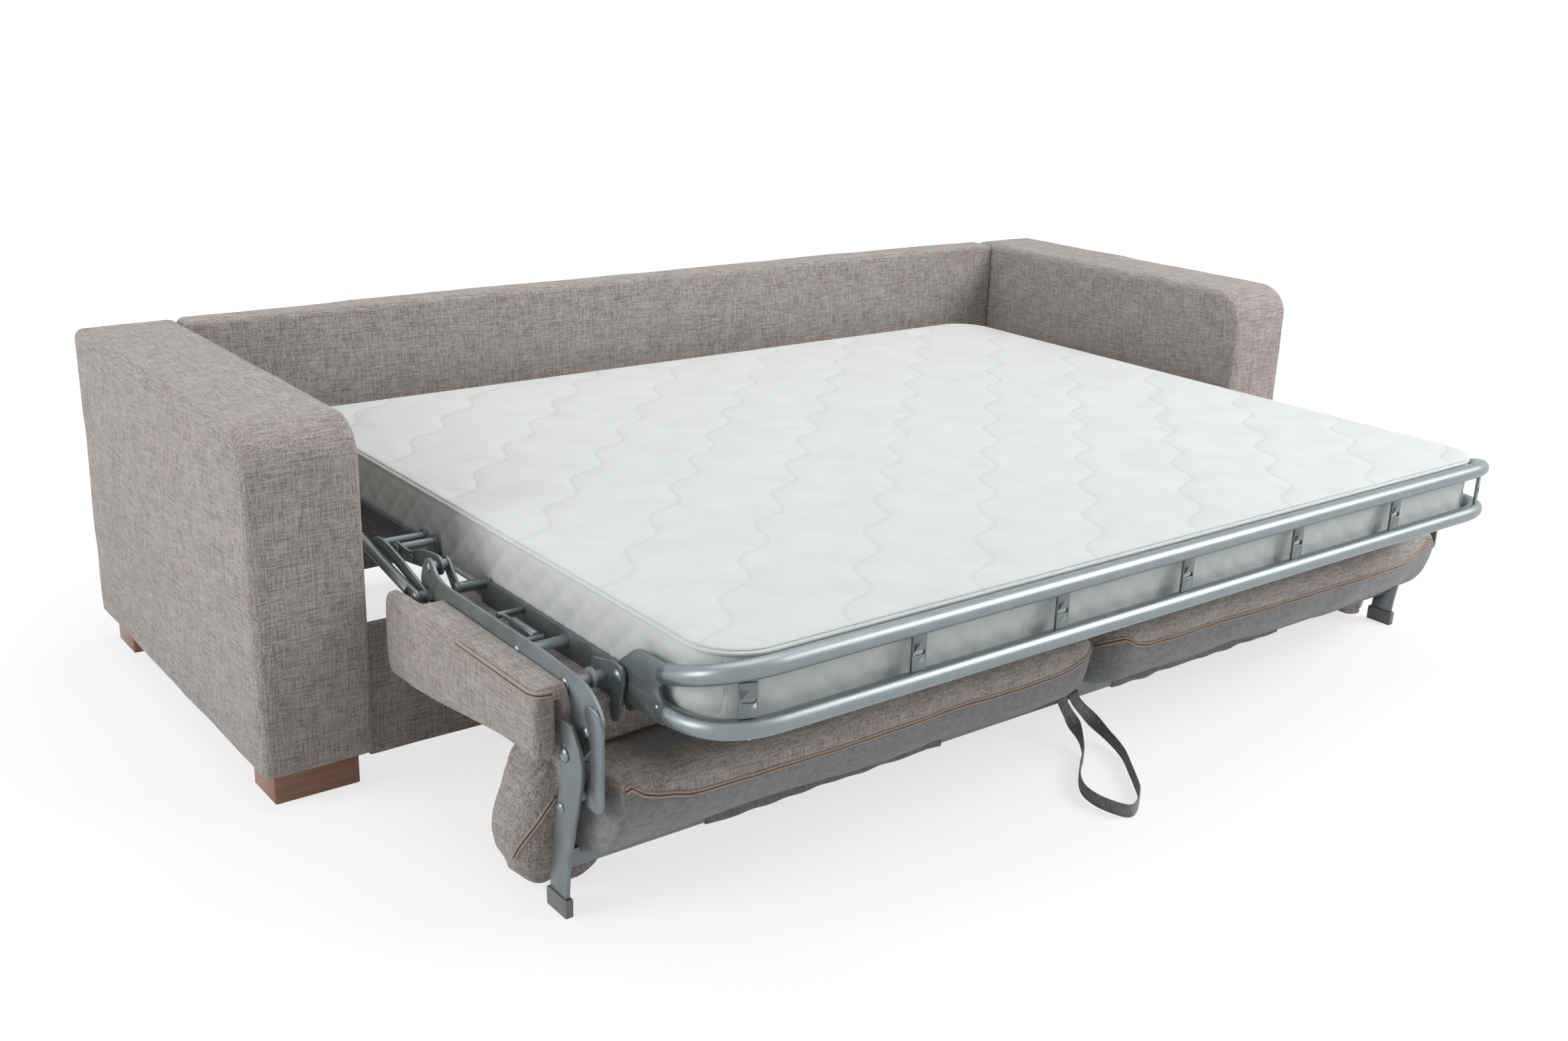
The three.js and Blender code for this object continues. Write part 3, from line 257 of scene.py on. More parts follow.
def finish(make):
    """The material that a function makes, made once."""
    name = make.__name__ + "_finish"
    return bpy.data.materials.get(name) or make(Nodes(bpy.data.materials.new(name)))


def threads_of(nodes):
    """Streaks along each axis, as the yarns of a plain weave show on any face, and the fine grid of the weave."""
    streaks = 0
    yarns = ((700, 46, 0.6), (360, 18, 0.4))  # per metre across a yarn and along it, and its share
    for fine, coarse, share in yarns:
        along_x = nodes.noise(1, 1, 0.5, (coarse, fine, fine))
        along_y = nodes.noise(1, 1, 0.5, (fine, coarse, fine))
        along_z = nodes.noise(1, 1, 0.5, (fine, fine, coarse))
        streaks = (along_x + along_y + along_z) * (share / 3) + streaks
    turns = 2 * math.pi / settings().cover.pitch
    axes = nodes.node("ShaderNodeSeparateXYZ", None, {"Vector": nodes.places()})
    ports = axes.node.outputs
    grid = ((Value(nodes, ports[0]) * turns).sine() + (Value(nodes, ports[1]) * turns).sine()
            + (Value(nodes, ports[2]) * turns).sine())
    return streaks, grid


def woven_cover(nodes):
    """Beige melange cloth: dark and light yarns, the grid of the weave and worn patches."""
    cover = settings().cover
    streaks, grid = threads_of(nodes)
    patches = nodes.noise(26, 4, 0.65)
    tone = nodes.range(streaks, 0.43, 0.57)
    yarn = nodes.mix(tone, rgba(cover.dark_thread), rgba(cover.light_thread))
    mixed = nodes.mix(0.35, yarn, rgba(cover.thread))
    wear_and_painted_highlight = nodes.mix(nodes.range(patches, 0.42, 0.72) * 0.2, mixed, rgba(cover.light_thread))
    nodes.bump(streaks * 2.2 + grid * 0.12 + patches * 0.6, 0.0009, 0.75)
    return nodes.set(Base_Color=wear_and_painted_highlight, Roughness=0.92, Sheen_Weight=0.18, Sheen_Roughness=0.5)


def grey_gusset(nodes):
    """Darker grey cloth of the gussets, hems and strap."""
    cover = settings().cover
    streaks, grid = threads_of(nodes)
    blots = nodes.range(nodes.noise(90, 4, 0.6), 0.35, 0.65)
    dark = tuple(part * 0.62 for part in cover.gusset)
    light = tuple(min(part * 1.45, 1) for part in cover.gusset)
    colours = nodes.mix(blots * 0.4 + nodes.range(streaks, 0.4, 0.6) * 0.6, rgba(dark), rgba(light))
    nodes.bump(streaks * 1.4 + grid * 0.1 + blots * 0.3, 0.0007, 0.7)
    return nodes.set(Base_Color=colours, Roughness=0.9, Sheen_Weight=0.25)


def zip_tape(nodes):
    """Beige tape of the zips and piping."""
    cover = settings().cover
    streaks, grid = threads_of(nodes)
    dark = tuple(part * 0.7 for part in cover.tape)
    colours = nodes.mix(nodes.range(streaks, 0.42, 0.58), rgba(dark), rgba(cover.tape))
    nodes.bump(streaks + grid * 0.2, 0.0005, 0.6)
    return nodes.set(Base_Color=colours, Roughness=0.8)


def dark_stitching(nodes):
    """Dark thread between two tapes."""
    trim = settings().trim
    return nodes.set(Base_Color=nodes.mix(nodes.noise(900), rgba(trim.dark_stitching), rgba(trim.stitching)),
                     Roughness=0.9)


def wave_distance(along, across, pitch, start, swing, turn, phase):
    """Distance from the nearest of evenly spaced wavy lines, for shader values and arrays alike."""
    swung = along + swing * sine_of((across + phase) * turn + math.pi / 2) - (start - pitch / 2)
    if isinstance(swung, Value):
        return (swung.remainder(pitch) - pitch / 2).absolute() / math.sqrt(2)
    return abs(swung % pitch - pitch / 2) / math.sqrt(2)


def sine_of(value):
    """The sine of a shader value or an array."""
    return value.sine() if isinstance(value, Value) else np.sin(value)


def quilt_lines(x, y):
    """Distances in metres from the two families of quilting lines, x and y being metres of the drawing."""
    quilt = settings().mattress
    turn = 2 * math.pi / 0.239
    first = wave_distance(x - y, x + y, quilt.pitch, -0.199, quilt.wave, turn, 1.339)
    second = wave_distance(x + y, x - y, quilt.pitch, -1.27, quilt.wave * 0.9, turn, 0.106)
    return first, second


def ticking(nodes):
    """White knit of the mattress, with the quilting's stitches and painted shade along its grooves on its upper side.
    """
    white = settings().mattress.ticking
    knit = nodes.noise(900, 2, 0.6)
    soft = nodes.noise(14, 3)
    axes = nodes.node("ShaderNodeSeparateXYZ", None, {"Vector": nodes.places()}).node.outputs
    first, second = quilt_lines(Value(nodes, axes[0]), Value(nodes, axes[1]) - DRAWING_SHIFT * MILLIMETRE)
    upward = nodes.node("ShaderNodeSeparateXYZ", None, {"Vector": nodes.node("ShaderNodeNewGeometry", output="Normal")},
                        "Z")
    upper = nodes.range(Value(nodes, upward), 0.75, 0.9)
    # Stitch lines of the two quilting families, darkened as painted shade in their grooves; the second family at 0.45
    # of the first.
    stitch_and_groove_shade = ((first / 0.0042) ** 2 * -1).power_of_e() * upper
    faint_stitch_and_groove_shade = ((second / 0.0036) ** 2 * -1).power_of_e() * upper * 0.45
    stitches_and_groove_shade = stitch_and_groove_shade + faint_stitch_and_groove_shade
    shade = tuple(part * 0.93 for part in white)
    # 0.75 times the ticking's white: the colour of the stitches together with the painted shade in the quilting
    # grooves.
    thread = tuple(part * 0.75 for part in white)
    plain = nodes.mix(nodes.range(soft, 0.3, 0.7), rgba(shade), rgba(white))
    nodes.bump(knit * 0.3 + soft * 0.5 - stitches_and_groove_shade * 1.1, 0.001, 0.7)
    return nodes.set(Base_Color=nodes.mix(stitches_and_groove_shade * 0.32, plain, rgba(thread)), Roughness=0.85, Sheen_Weight=0.1)


def painted_steel(nodes):
    """Grey satin paint with a slight orange peel."""
    paint = settings().steel.paint
    cloud = nodes.noise(26, 4)
    peel = nodes.noise(950, 2)
    light = tuple(part * 1.25 for part in paint)
    nodes.bump(peel + cloud * 0.6, 0.0002, 0.35)
    return nodes.set(Base_Color=nodes.mix(nodes.range(cloud, 0.3, 0.7), rgba(paint), rgba(light)), Metallic=0.55,
                     Roughness=nodes.range(cloud, 0.2, 0.8) * 0.12 + 0.3)


def bright_tube(nodes):
    """The bumper tubes' grey, made lighter than the other steel as painted reflection, and smoother."""
    paint = settings().steel.paint
    cloud = nodes.noise(30, 4)
    # light and dark: the steel paint made 1.7 and 1.35 times lighter, painted reflection on the tubes.
    light = tuple(part * 1.7 for part in paint)
    dark = tuple(part * 1.35 for part in paint)
    nodes.bump(nodes.noise(900, 2), 0.0001, 0.15)
    return nodes.set(Base_Color=nodes.mix(cloud, rgba(dark), rgba(light)), Metallic=0.75,
                     Roughness=nodes.range(cloud, 0.2, 0.8) * 0.08 + 0.33)


def rivet_steel(nodes):
    """Rivet heads: the steel paint mixed in specks with a 1.9 times lighter copy of it, as painted highlight."""
    paint = settings().steel.paint
    # A 1.9 times lighter copy of the paint: painted highlight on the rivet heads.
    wear_and_painted_highlight = tuple(part * 1.9 for part in paint)
    return nodes.set(Base_Color=nodes.mix(nodes.noise(300), rgba(paint), rgba(wear_and_painted_highlight)), Metallic=0.8, Roughness=0.34)


def zinc_plate(nodes):
    """Plated wire with a fine spangle."""
    zinc = settings().steel.zinc
    spangle = nodes.noise(240, 3)
    dark = tuple(part * 0.7 for part in zinc)
    nodes.bump(spangle, 0.0002, 0.3)
    return nodes.set(Base_Color=nodes.mix(spangle, rgba(dark), rgba(zinc)), Metallic=0.95,
                     Roughness=spangle * 0.25 + 0.2)


def brown_wood(nodes):
    """Stained wood, its grain along X."""
    trim = settings().trim
    grain = nodes.noise(1, 5, 0.6, (9, 160, 160))
    pores = nodes.noise(1, 2, 0.5, (60, 1500, 1500))
    tone = nodes.range(grain, 0.3, 0.7)
    stained = nodes.mix(tone, rgba(trim.dark_wood), rgba(trim.wood))
    nodes.bump(grain + pores * 0.4, 0.0004, 0.5)
    return nodes.set(Base_Color=stained, Roughness=nodes.range(pores, 0.3, 0.7) * 0.15 + 0.38, Coat_Weight=0.2)


def grey_plastic(nodes):
    """Grained plastic of the leg caps."""
    trim = settings().trim
    grain = nodes.noise(700, 3)
    nodes.bump(grain, 0.0003, 0.4)
    return nodes.set(Base_Color=nodes.mix(grain, rgba(trim.dark_plastic), rgba(trim.plastic)), Roughness=0.55)


# Mesh tools, in millimetres of the drawing

def row(points):
    """Drawing points as metres in the row frame."""
    return (np.asarray(points, float) + (0, DRAWING_SHIFT, 0)) * MILLIMETRE


def add_mesh(name, points, faces, material, smooth=True):
    """A new object from points of the drawing."""
    mesh = bpy.data.meshes.new(name)
    mesh.from_pydata(row(points).tolist(), [], [list(map(int, face)) for face in faces])
    mesh.polygons.foreach_set("use_smooth", [smooth] * len(mesh.polygons))
    mesh.materials.append(material)
    mesh.update()
    piece = bpy.data.objects.new(name, mesh)
    bpy.context.scene.collection.objects.link(piece)
    return piece


def mirrored(points, faces, side):
    """The mesh of a right-hand piece, or its mirror image for the left."""
    if side > 0:
        return points, faces
    return np.asarray(points) * (-1, 1, 1), [face[::-1] for face in faces]


def spread(low, high, step, insets=(0,), marks=()):
    """Places from low to high, a step apart, with extra ones near both ends and at the marks."""
    reach = max(insets)
    count = max(2, int(round((high - low - 2 * reach) / step)) + 1)
    places = list(np.linspace(low + reach, high - reach, count))
    for inset in insets:
        places += [low + inset, high - inset]
    places += [mark for mark in marks if low < mark < high]
    return np.unique(np.round(places, 3))


def block_surface(xs, ys, zs):
    """The closed skin of a block as a lattice of quads, with a point at each of the places."""
    ids = np.full((len(xs), len(ys), len(zs)), -1)
    skin = np.zeros(ids.shape, bool)
    skin[[0, -1]] = True
    skin[:, [0, -1]] = True
    skin[:, :, [0, -1]] = True
    ids[skin] = np.arange(skin.sum())
    i, j, k = np.nonzero(skin)
    points = np.stack([np.asarray(xs)[i], np.asarray(ys)[j], np.asarray(zs)[k]], 1)
    faces = []
    planes = [(ids[:, :, -1], 1), (ids[:, :, 0], -1), (ids[:, -1, :], -1), (ids[:, 0, :], 1),
              (ids[-1], 1), (ids[0], -1)]
    for plane, turn in planes:
        quads = np.stack([plane[:-1, :-1], plane[1:, :-1], plane[1:, 1:], plane[:-1, 1:]], -1).reshape(-1, 4)
        faces.append(quads[:, ::turn])
    return points, np.concatenate(faces)


def rounded(points, low, high, axis, radii, edge):
    """Rounds a block: its outline across an axis by radii, one for each corner, and the rims of its two faces."""
    low, high = np.asarray(low, float), np.asarray(high, float)
    b, c = [i for i in range(3) if i != axis]
    middle, half = (low + high) / 2, (high - low) / 2
    p = points - middle
    radius = np.asarray(radii, float)[(p[:, b] > 0).astype(int), (p[:, c] > 0).astype(int)]
    inner_b = np.clip(p[:, b], radius - half[b], half[b] - radius)
    inner_c = np.clip(p[:, c], radius - half[c], half[c] - radius)
    off_b, off_c = p[:, b] - inner_b, p[:, c] - inner_c
    reach = np.maximum(abs(off_b), abs(off_c))
    rim = np.clip(reach - (radius - edge), 0, None)
    up = np.clip(abs(p[:, axis]) - (half[axis] - edge), 0, None)
    shrink = np.maximum(rim, up) / np.maximum(np.hypot(rim, up), 1e-9)
    shrink[np.hypot(rim, up) < 1e-9] = 1
    scale = (reach - rim * (1 - shrink)) / np.maximum(np.hypot(off_b, off_c), 1e-9)
    p[:, b] = inner_b + off_b * scale
    p[:, c] = inner_c + off_c * scale
    p[:, axis] -= np.sign(p[:, axis]) * up * (1 - shrink)
    return p + middle


def soft_block(low, high, steps, rims, axis, radii, edge):
    """A block's lattice before and after it is rounded, and its faces."""
    raw, faces = block_surface(*(spread(*places) for places in zip(low, high, steps, rims)))
    return raw, rounded(raw.copy(), low, high, axis, radii, edge), faces


def smoothstep(value, low, high):
    """0 below low, 1 above high, with an even curve between."""
    t = np.clip((value - low) / (high - low), 0, 1)
    return t * t * (3 - 2 * t)


def ripple(points, wavelength, seed):
    """A smooth uneven number near -1 to 1 at each point, the same on every run."""
    draw = np.random.default_rng(seed)
    terms = 7
    total = np.zeros(len(points))
    for _ in range(terms):
        way = draw.normal(size=3)
        way /= np.linalg.norm(way)
        length = wavelength * draw.uniform(0.6, 1.6)
        total += np.sin(points @ way * 2 * math.pi / length + draw.uniform(0, 2 * math.pi))
    return total / math.sqrt(terms)


def normals_of(points, faces):
    """The outward direction at each point."""
    faces = np.asarray(faces)
    a, b, c, d = (points[faces[:, i]] for i in range(4))
    across = np.cross(c - a, d - b)
    total = np.zeros_like(points)
    for i in range(4):
        np.add.at(total, faces[:, i], across)
    return total / np.maximum(np.linalg.norm(total, axis=1, keepdims=True), 1e-9)


def swell(points, raw, low, high, axis, side, height, power=3):
    """Crowns one face of a block. raw holds the points before they were rounded."""
    low, high = np.asarray(low, float), np.asarray(high, float)
    b, c = [i for i in range(3) if i != axis]
    share = (raw - low) / (high - low) * 2 - 1
    on_face = np.clip(share[:, axis] * side, 0, 1)
    weight = (1 - abs(share[:, b]) ** power) * (1 - abs(share[:, c]) ** power) * on_face
    points[:, axis] += side * height * weight
    return points


def ring_faces(rings, sides):
    """Quads from each ring of points to the next."""
    faces = []
    for start in range(0, (rings - 1) * sides, sides):
        for j in range(sides):
            k = (j + 1) % sides
            faces.append([start + j, start + k, start + sides + k, start + sides + j])
    return faces


def tube_mesh(path, radius, sides=10):
    """A round bar along a path, with a steady frame."""
    path = np.asarray(path, float)
    count = len(path)
    along = path[np.minimum(np.arange(count) + 1, count - 1)] - path[np.maximum(np.arange(count) - 1, 0)]
    along /= np.maximum(np.linalg.norm(along, axis=1, keepdims=True), 1e-9)
    up = np.zeros_like(path)
    start = np.array((0, 0, 1.0)) if abs(along[0][2]) < 0.9 else np.array((0, 1.0, 0))
    for i in range(count):
        start = start - along[i] * (start @ along[i])
        start /= np.linalg.norm(start)
        up[i] = start
    across = np.cross(along, up)
    angles = np.arange(sides) / sides * 2 * math.pi
    rings = (path[:, None] + up[:, None] * np.cos(angles)[None, :, None] * radius
             + across[:, None] * np.sin(angles)[None, :, None] * radius)
    faces = ring_faces(count, sides)
    faces.append(list(range(sides))[::-1])
    faces.append([(count - 1) * sides + j for j in range(sides)])
    return rings.reshape(-1, 3), [face[::-1] for face in faces]


def gathered(parts):
    """Several meshes as one."""
    points, faces, start = [], [], 0
    for some, quads in parts:
        points.append(np.asarray(some, float))
        faces += [[int(i) + start for i in quad] for quad in quads]
        start += len(some)
    return np.concatenate(points), faces


def smooth_path(stops, steps, closed=False):
    """A smooth curve through the stops, with evenly spaced points."""
    stops = np.asarray(stops, float)
    count = len(stops)
    fine = []
    spans = count if closed else count - 1
    for i in range(spans):
        wanted = [i - 1, i, i + 1, i + 2]
        picks = [k % count for k in wanted] if closed else [min(max(k, 0), count - 1) for k in wanted]
        p0, p1, p2, p3 = (stops[k] for k in picks)
        for t in np.linspace(0, 1, 16, endpoint=False):
            fine.append(0.5 * (2 * p1 + (p2 - p0) * t + (2 * p0 - 5 * p1 + 4 * p2 - p3) * t * t
                               + (3 * p1 - p0 - 3 * p2 + p3) * t ** 3))
    fine.append(stops[0] if closed else stops[-1])
    fine = np.array(fine)
    gone = np.concatenate([[0], np.cumsum(np.linalg.norm(np.diff(fine, axis=0), axis=1))])
    marks = np.linspace(0, gone[-1], steps + 1)
    if closed:
        marks = marks[:-1]
    return np.stack([np.interp(marks, gone, fine[:, i]) for i in range(3)], 1)


def put(piece, body, replaces=()):
    """Puts a piece on a body and hides the CAD nodes it stands for."""
    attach(piece, body)
    if replaces:
        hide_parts(*replaces)
    return piece


# Upholstered body

def arm_cover(side_name, side):
    """A padded arm with a piped seam near its inner face."""
    low, high = (1061, 0, 53.3), (1248, 871, 621)
    rim = (0, 1.5, 4, 7, 10, 12.5, 14, 15.5, 19)
    outline = (0, 1.5, 4, 7, 10, 14, 20, 28, 37, 47, 57, 66)
    corners = [[14, 66], [14, 24]]
    raw, points, faces = soft_block(low, high, (14, 16, 16), (rim, outline, outline), axis=0, radii=corners, edge=16)
    puff = settings().cover.puff / MILLIMETRE
    swell(points, raw, low, high, axis=0, side=1, height=puff)
    swell(points, raw, low, high, axis=2, side=1, height=puff * 0.8, power=2)
    swell(points, raw, low, high, axis=1, side=-1, height=puff * 0.8, power=2)
    out = normals_of(points, faces)
    free = smoothstep(raw[:, 0], low[0] + 1, low[0] + 19)
    seam = np.exp(-((raw[:, 0] - low[0] - 14) / 1.3) ** 2) * (abs(out[:, 0]) < 0.5)
    points -= out * (0.8 * seam)[:, None]
    dents = ripple(points, 260, 11) * 0.9 + ripple(points, 90, 12) * 0.4
    points += out * (dents * free)[:, None]
    points[:, 2] = np.maximum(points[:, 2], low[2])
    points, faces = mirrored(points, faces, side)
    piece = add_mesh("arm_cover_" + side_name, points, faces, finish(woven_cover))
    put(piece, "base", ["arm_" + side_name])


def backrest_cover():
    """The low padded back between the arms, with a seam along its top."""
    low, high = (-1060.7, 804, 58), (1060.7, 871, 621)
    rim = (0, 1.5, 4, 7, 10, 13, 18)
    raw, points, faces = soft_block(low, high, (22, 12, 16), (rim, rim, rim), axis=1, radii=[[9, 16], [9, 16]],
                                    edge=9)
    swell(points, raw, low, high, axis=1, side=-1, height=6, power=4)
    swell(points, raw, low, high, axis=2, side=1, height=3, power=8)
    out = normals_of(points, faces)
    free = smoothstep(high[0] - abs(raw[:, 0]), 0, 25)
    points += out * ((ripple(points, 300, 21) * 0.9 + ripple(points, 100, 22) * 0.4) * free)[:, None]
    seam = np.exp(-((raw[:, 2] - high[2] + 16) / 1.6) ** 2) * (abs(out[:, 2]) < 0.6)
    points -= out * (1.4 * seam)[:, None]
    piece = add_mesh("backrest_cover", points, faces, finish(woven_cover))
    put(piece, "base", ["backrest"])


def front_rail_cover():
    """The cloth over the thin front rail."""
    low, high = (-1060.7, 28, 40), (1060.7, 40, 271)
    rim = (0, 1, 2, 3, 6)
    _, points, faces = soft_block(low, high, (24, 3, 12), (rim, rim[:-1], rim), axis=1, radii=[[3, 3], [3, 3]],
                                  edge=3)
    out = normals_of(points, faces)
    points += out * (ripple(points, 160, 31) * 0.35)[:, None]
    piece = add_mesh("front_rail_cover", points, faces, finish(woven_cover))
    put(piece, "base", ["front_rail"])


# Mattress: its box, the radius of its corners in plan, and the places of its tufts, as x, y

MATTRESS_LOW = np.array((-900, -732, 326.6))
MATTRESS_HIGH = np.array((900, 720, 452))
MATTRESS_CORNER = 84
TUFTS = ((-685, -634), (-115, -42), (-685, -42), (455, -42), (-115, -634), (455, -634), (740, -600), (-400, 420),
         (170, 420), (740, 420), (740, -42))


def line_distance(value, start, pitch):
    """Distance from the nearest of evenly spaced lines."""
    return abs((value - start + pitch / 2) % pitch - pitch / 2)


def quilt_height(x, y):
    """Height of the quilted top: it swells between the stitched lines and dips at the tufts."""
    puff = settings().mattress.puff / MILLIMETRE
    first, second = (away / MILLIMETRE for away in quilt_lines(x * MILLIMETRE, y * MILLIMETRE))
    height = puff * (1 - np.exp(-(first / 17) ** 2)) * (1 - 0.5 * np.exp(-(second / 17) ** 2))
    for tuft_x, tuft_y in TUFTS:
        away = np.hypot(x - tuft_x, y - tuft_y)
        height -= 2.6 * np.exp(-(away / 9) ** 2) + 1.6 * np.exp(-(away / 55) ** 2)
    return height


def mattress_section(name, y0, y1):
    """A closed piece of the mattress between two cuts. Neighbours meet at their shared cut."""
    low, high = MATTRESS_LOW, MATTRESS_HIGH
    step = settings().mattress.grid / MILLIMETRE
    outline = (0, 1.5, 3, 5, 8, 12, 18, 24, 30, 36, 42, 48, 54, 60, 66, 72, 78, 84)
    zs = spread(low[2], high[2], 7, (0, 1.2, 2.5, 4, 5.5, 6.5, 7.5, 9, 10.5, 12, 13.5, 15, 17))
    every = spread(low[1], high[1], step, outline)
    ys = np.unique(np.concatenate([[y0, y1], every[(every > y0 + 2) & (every < y1 - 2)]]))
    raw, faces = block_surface(spread(low[0], high[0], step, outline), ys, zs)
    corner = MATTRESS_CORNER
    points = rounded(raw.copy(), low, high, axis=2, radii=[[corner, corner], [corner, corner]], edge=5)
    inset = np.minimum(high[0] - abs(raw[:, 0]), np.minimum(raw[:, 1] - low[1], high[1] - raw[:, 1]))
    top, bottom = high[2], low[2]
    on_wall = np.clip(1 - inset / 12, 0, 1)
    level = raw[:, 2]
    core = [np.clip(raw[:, i], low[i] + corner, high[i] - corner) for i in (0, 1)]
    away = points - np.stack([*core, level], 1)
    away[:, 2] = 0
    away /= np.maximum(np.linalg.norm(away, axis=1, keepdims=True), 1e-9)
    piping = np.zeros(len(points))
    for centre in (top - 9, bottom + 9):
        off = abs(level - centre)
        piping += 3.6 * np.sqrt(np.clip(1 - (off / 4.2) ** 2, 0, 1)) - 1.6 * np.exp(-((off - 5.2) / 1.3) ** 2)
    run = np.where(abs(away[:, 0]) > abs(away[:, 1]), points[:, 1], points[:, 0])
    band = smoothstep(level, bottom + 16, bottom + 24) * smoothstep(top - level, 16, 24)
    diamond = np.minimum(line_distance(run + level * 1.1, 0, 62), line_distance(run - level * 1.1, 0, 62))
    border = band * (2.6 * (1 - np.exp(-diamond / 9)) - 0.8 * np.exp(-(diamond / 2.5) ** 2))
    points += away * ((piping + border - 2.2) * on_wall)[:, None]
    lifted = np.clip((level - top + 20) / 20, 0, 1)
    upper = lifted * smoothstep(inset, 2, 26)
    shoulder = 1.6 * np.exp(-((inset - 27) / 3.0) ** 2)
    crown = 1.5 * smoothstep(inset, 10, 160)
    height = (quilt_height(points[:, 0], points[:, 1]) - shoulder + crown) * upper
    lumps = ripple(points * (1, 1, 0), 340, 41) * 0.9
    points[:, 2] += height + lumps * upper - 4.8 * lifted
    piece = add_mesh(name, points, faces, finish(ticking))
    piece.data.set_sharp_from_angle(angle=math.radians(65))
    return piece


def mattress():
    """The four sections of the mattress: the head, fold and middle ones on their bodies, while the foot one is not put
    on a body.
    """
    fold_back, fold_front, bend_start = 83, -70, -456
    head = mattress_section("mattress_head_cover", fold_back, 720)
    put(head, "head_section", ["mattress_head"])
    fold = mattress_section("mattress_fold_cover", fold_front, fold_back)
    put(fold, "fold_links", ["mattress_fold"])
    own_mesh(fold)
    middle = mattress_section("mattress_middle_cover", bend_start, fold_front)
    put(middle, "seat_frame", ["mattress_middle"])
    foot = mattress_section("mattress_foot_cover", -732, bend_start)
    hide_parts("mattress_foot")
    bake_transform(foot)


# Cushions

def cut_away(piece, low, high):
    """Cuts a block out of a piece."""
    points, faces = block_surface(np.linspace(low[0], high[0], 2), np.linspace(low[1], high[1], 2),
                                  np.linspace(low[2], high[2], 2))
    cutter = add_mesh("cutter", points, faces, piece.data.materials[0])
    change = piece.modifiers.new("slit", "BOOLEAN")
    change.object = cutter
    change.solver = "EXACT"
    bpy.context.view_layer.objects.active = piece
    bpy.ops.object.modifier_apply(modifier=change.name)
    bpy.data.objects.remove(cutter)


def twin_tape(name, path, across, gap, radius, body):
    """A zip: two beige tapes side by side along a path, with a dark line of stitching between them."""
    path, across = np.asarray(path, float), np.asarray(across, float)
    across = across / np.linalg.norm(across, axis=1, keepdims=True)
    tapes = gathered([tube_mesh(path + across * gap * way, radius, 8) for way in (-1, 1)])
    piece = add_mesh(name, *tapes, finish(zip_tape))
    put(piece, body)
    middle = add_mesh(name + "_stitching", *tube_mesh(path, radius * 0.75, 6), finish(dark_stitching))
    put(middle, body)


def seat_cushion(side_name, side):
    """The upturned seat cushion, whose outer lip rises past the frame and is slit for the leg."""
    low, high = (3, -505, 247), (1046, -20, 317.7)
    edge = (0, 1.5, 4, 7, 10, 14, 18, 22)
    marks = (983, 986, 988, 990, 992, 994, 996, 999)
    marks += (1020, 1024, 1026, 1028, 1030, 1032)
    xs = spread(low[0], high[0], 18, edge, marks)
    ys = spread(low[1], high[1], 14, edge, (-130, -100, -60))
    zs = spread(low[2], high[2], 9, (0, 1.5, 4, 7, 10, 14, 18))
    raw, faces = block_surface(xs, ys, zs)
    points = rounded(raw.copy(), low, high, axis=2, radii=[[16, 16], [8, 22]], edge=10)
    swell(points, raw, low, high, axis=2, side=-1, height=7, power=4)
    lip_top = np.interp(points[:, 1], (-505, -130, -60, -20), (352, 352, 316, 292))
    wall_top = np.interp(points[:, 1], (-505, -80, -40, -20), (352, 352, 348, 338))
    wall = smoothstep(raw[:, 0], 1024, 1032)
    lip_top = lip_top + wall * (wall_top - lip_top)
    lip = smoothstep(raw[:, 0], 984, 996)
    share = (points[:, 2] - low[2]) / (high[2] - low[2])
    points[:, 2] = np.where(share > 0, low[2] + share * (high[2] + lip * (lip_top - high[2]) - low[2]), points[:, 2])
    out = normals_of(points, faces)
    outside = smoothstep(raw[:, 0], 1000, 1044)
    droop = smoothstep(raw[:, 0], 900, 1040) * smoothstep(raw[:, 1], -505, -20) * np.clip(1 - share * 1.1, 0, 1)
    points[:, 2] -= 44 * droop
    points += out * (outside * (1 - abs(share * 2 - 1) ** 3) * 2.5)[:, None]
    dents = ripple(points, 150, 51 + side) * 1.1 + ripple(points, 55, 53 + side) * 0.4
    points += out * (dents * (share < 0.98))[:, None]
    seam = np.exp(-((raw[:, 1] - low[1] - 14) / 1.3) ** 2) * (raw[:, 0] > 1045.9)
    points -= out * (1.6 * seam)[:, None]
    points, faces = mirrored(points, faces, side)
    cover = finish(woven_cover)
    piece = add_mesh("seat_cushion_cover_" + side_name, points, faces, cover)
    slit_start, slit_end = sorted((1001 * side, 1015 * side))
    cut_away(piece, (slit_start, -520, 220), (slit_end, -484, 332))
    put(piece, "seat_frame", ["seat_cushion_" + side_name])
    stops = [(1047.5, -277, 344), (1048, -300, 344.5), (1048, -400, 345), (1047.5, -470, 345), (1046.5, -490, 345),
             (1041, -503, 345), (1030, -508, 345), (1021, -508, 344.5)]
    path = smooth_path(np.array(stops) * (side, 1, 1), 60)
    twin_tape("seat_tape_" + side_name, path, np.tile((0, 0, 1), (len(path), 1)), 3.0, 2.4, "seat_frame")


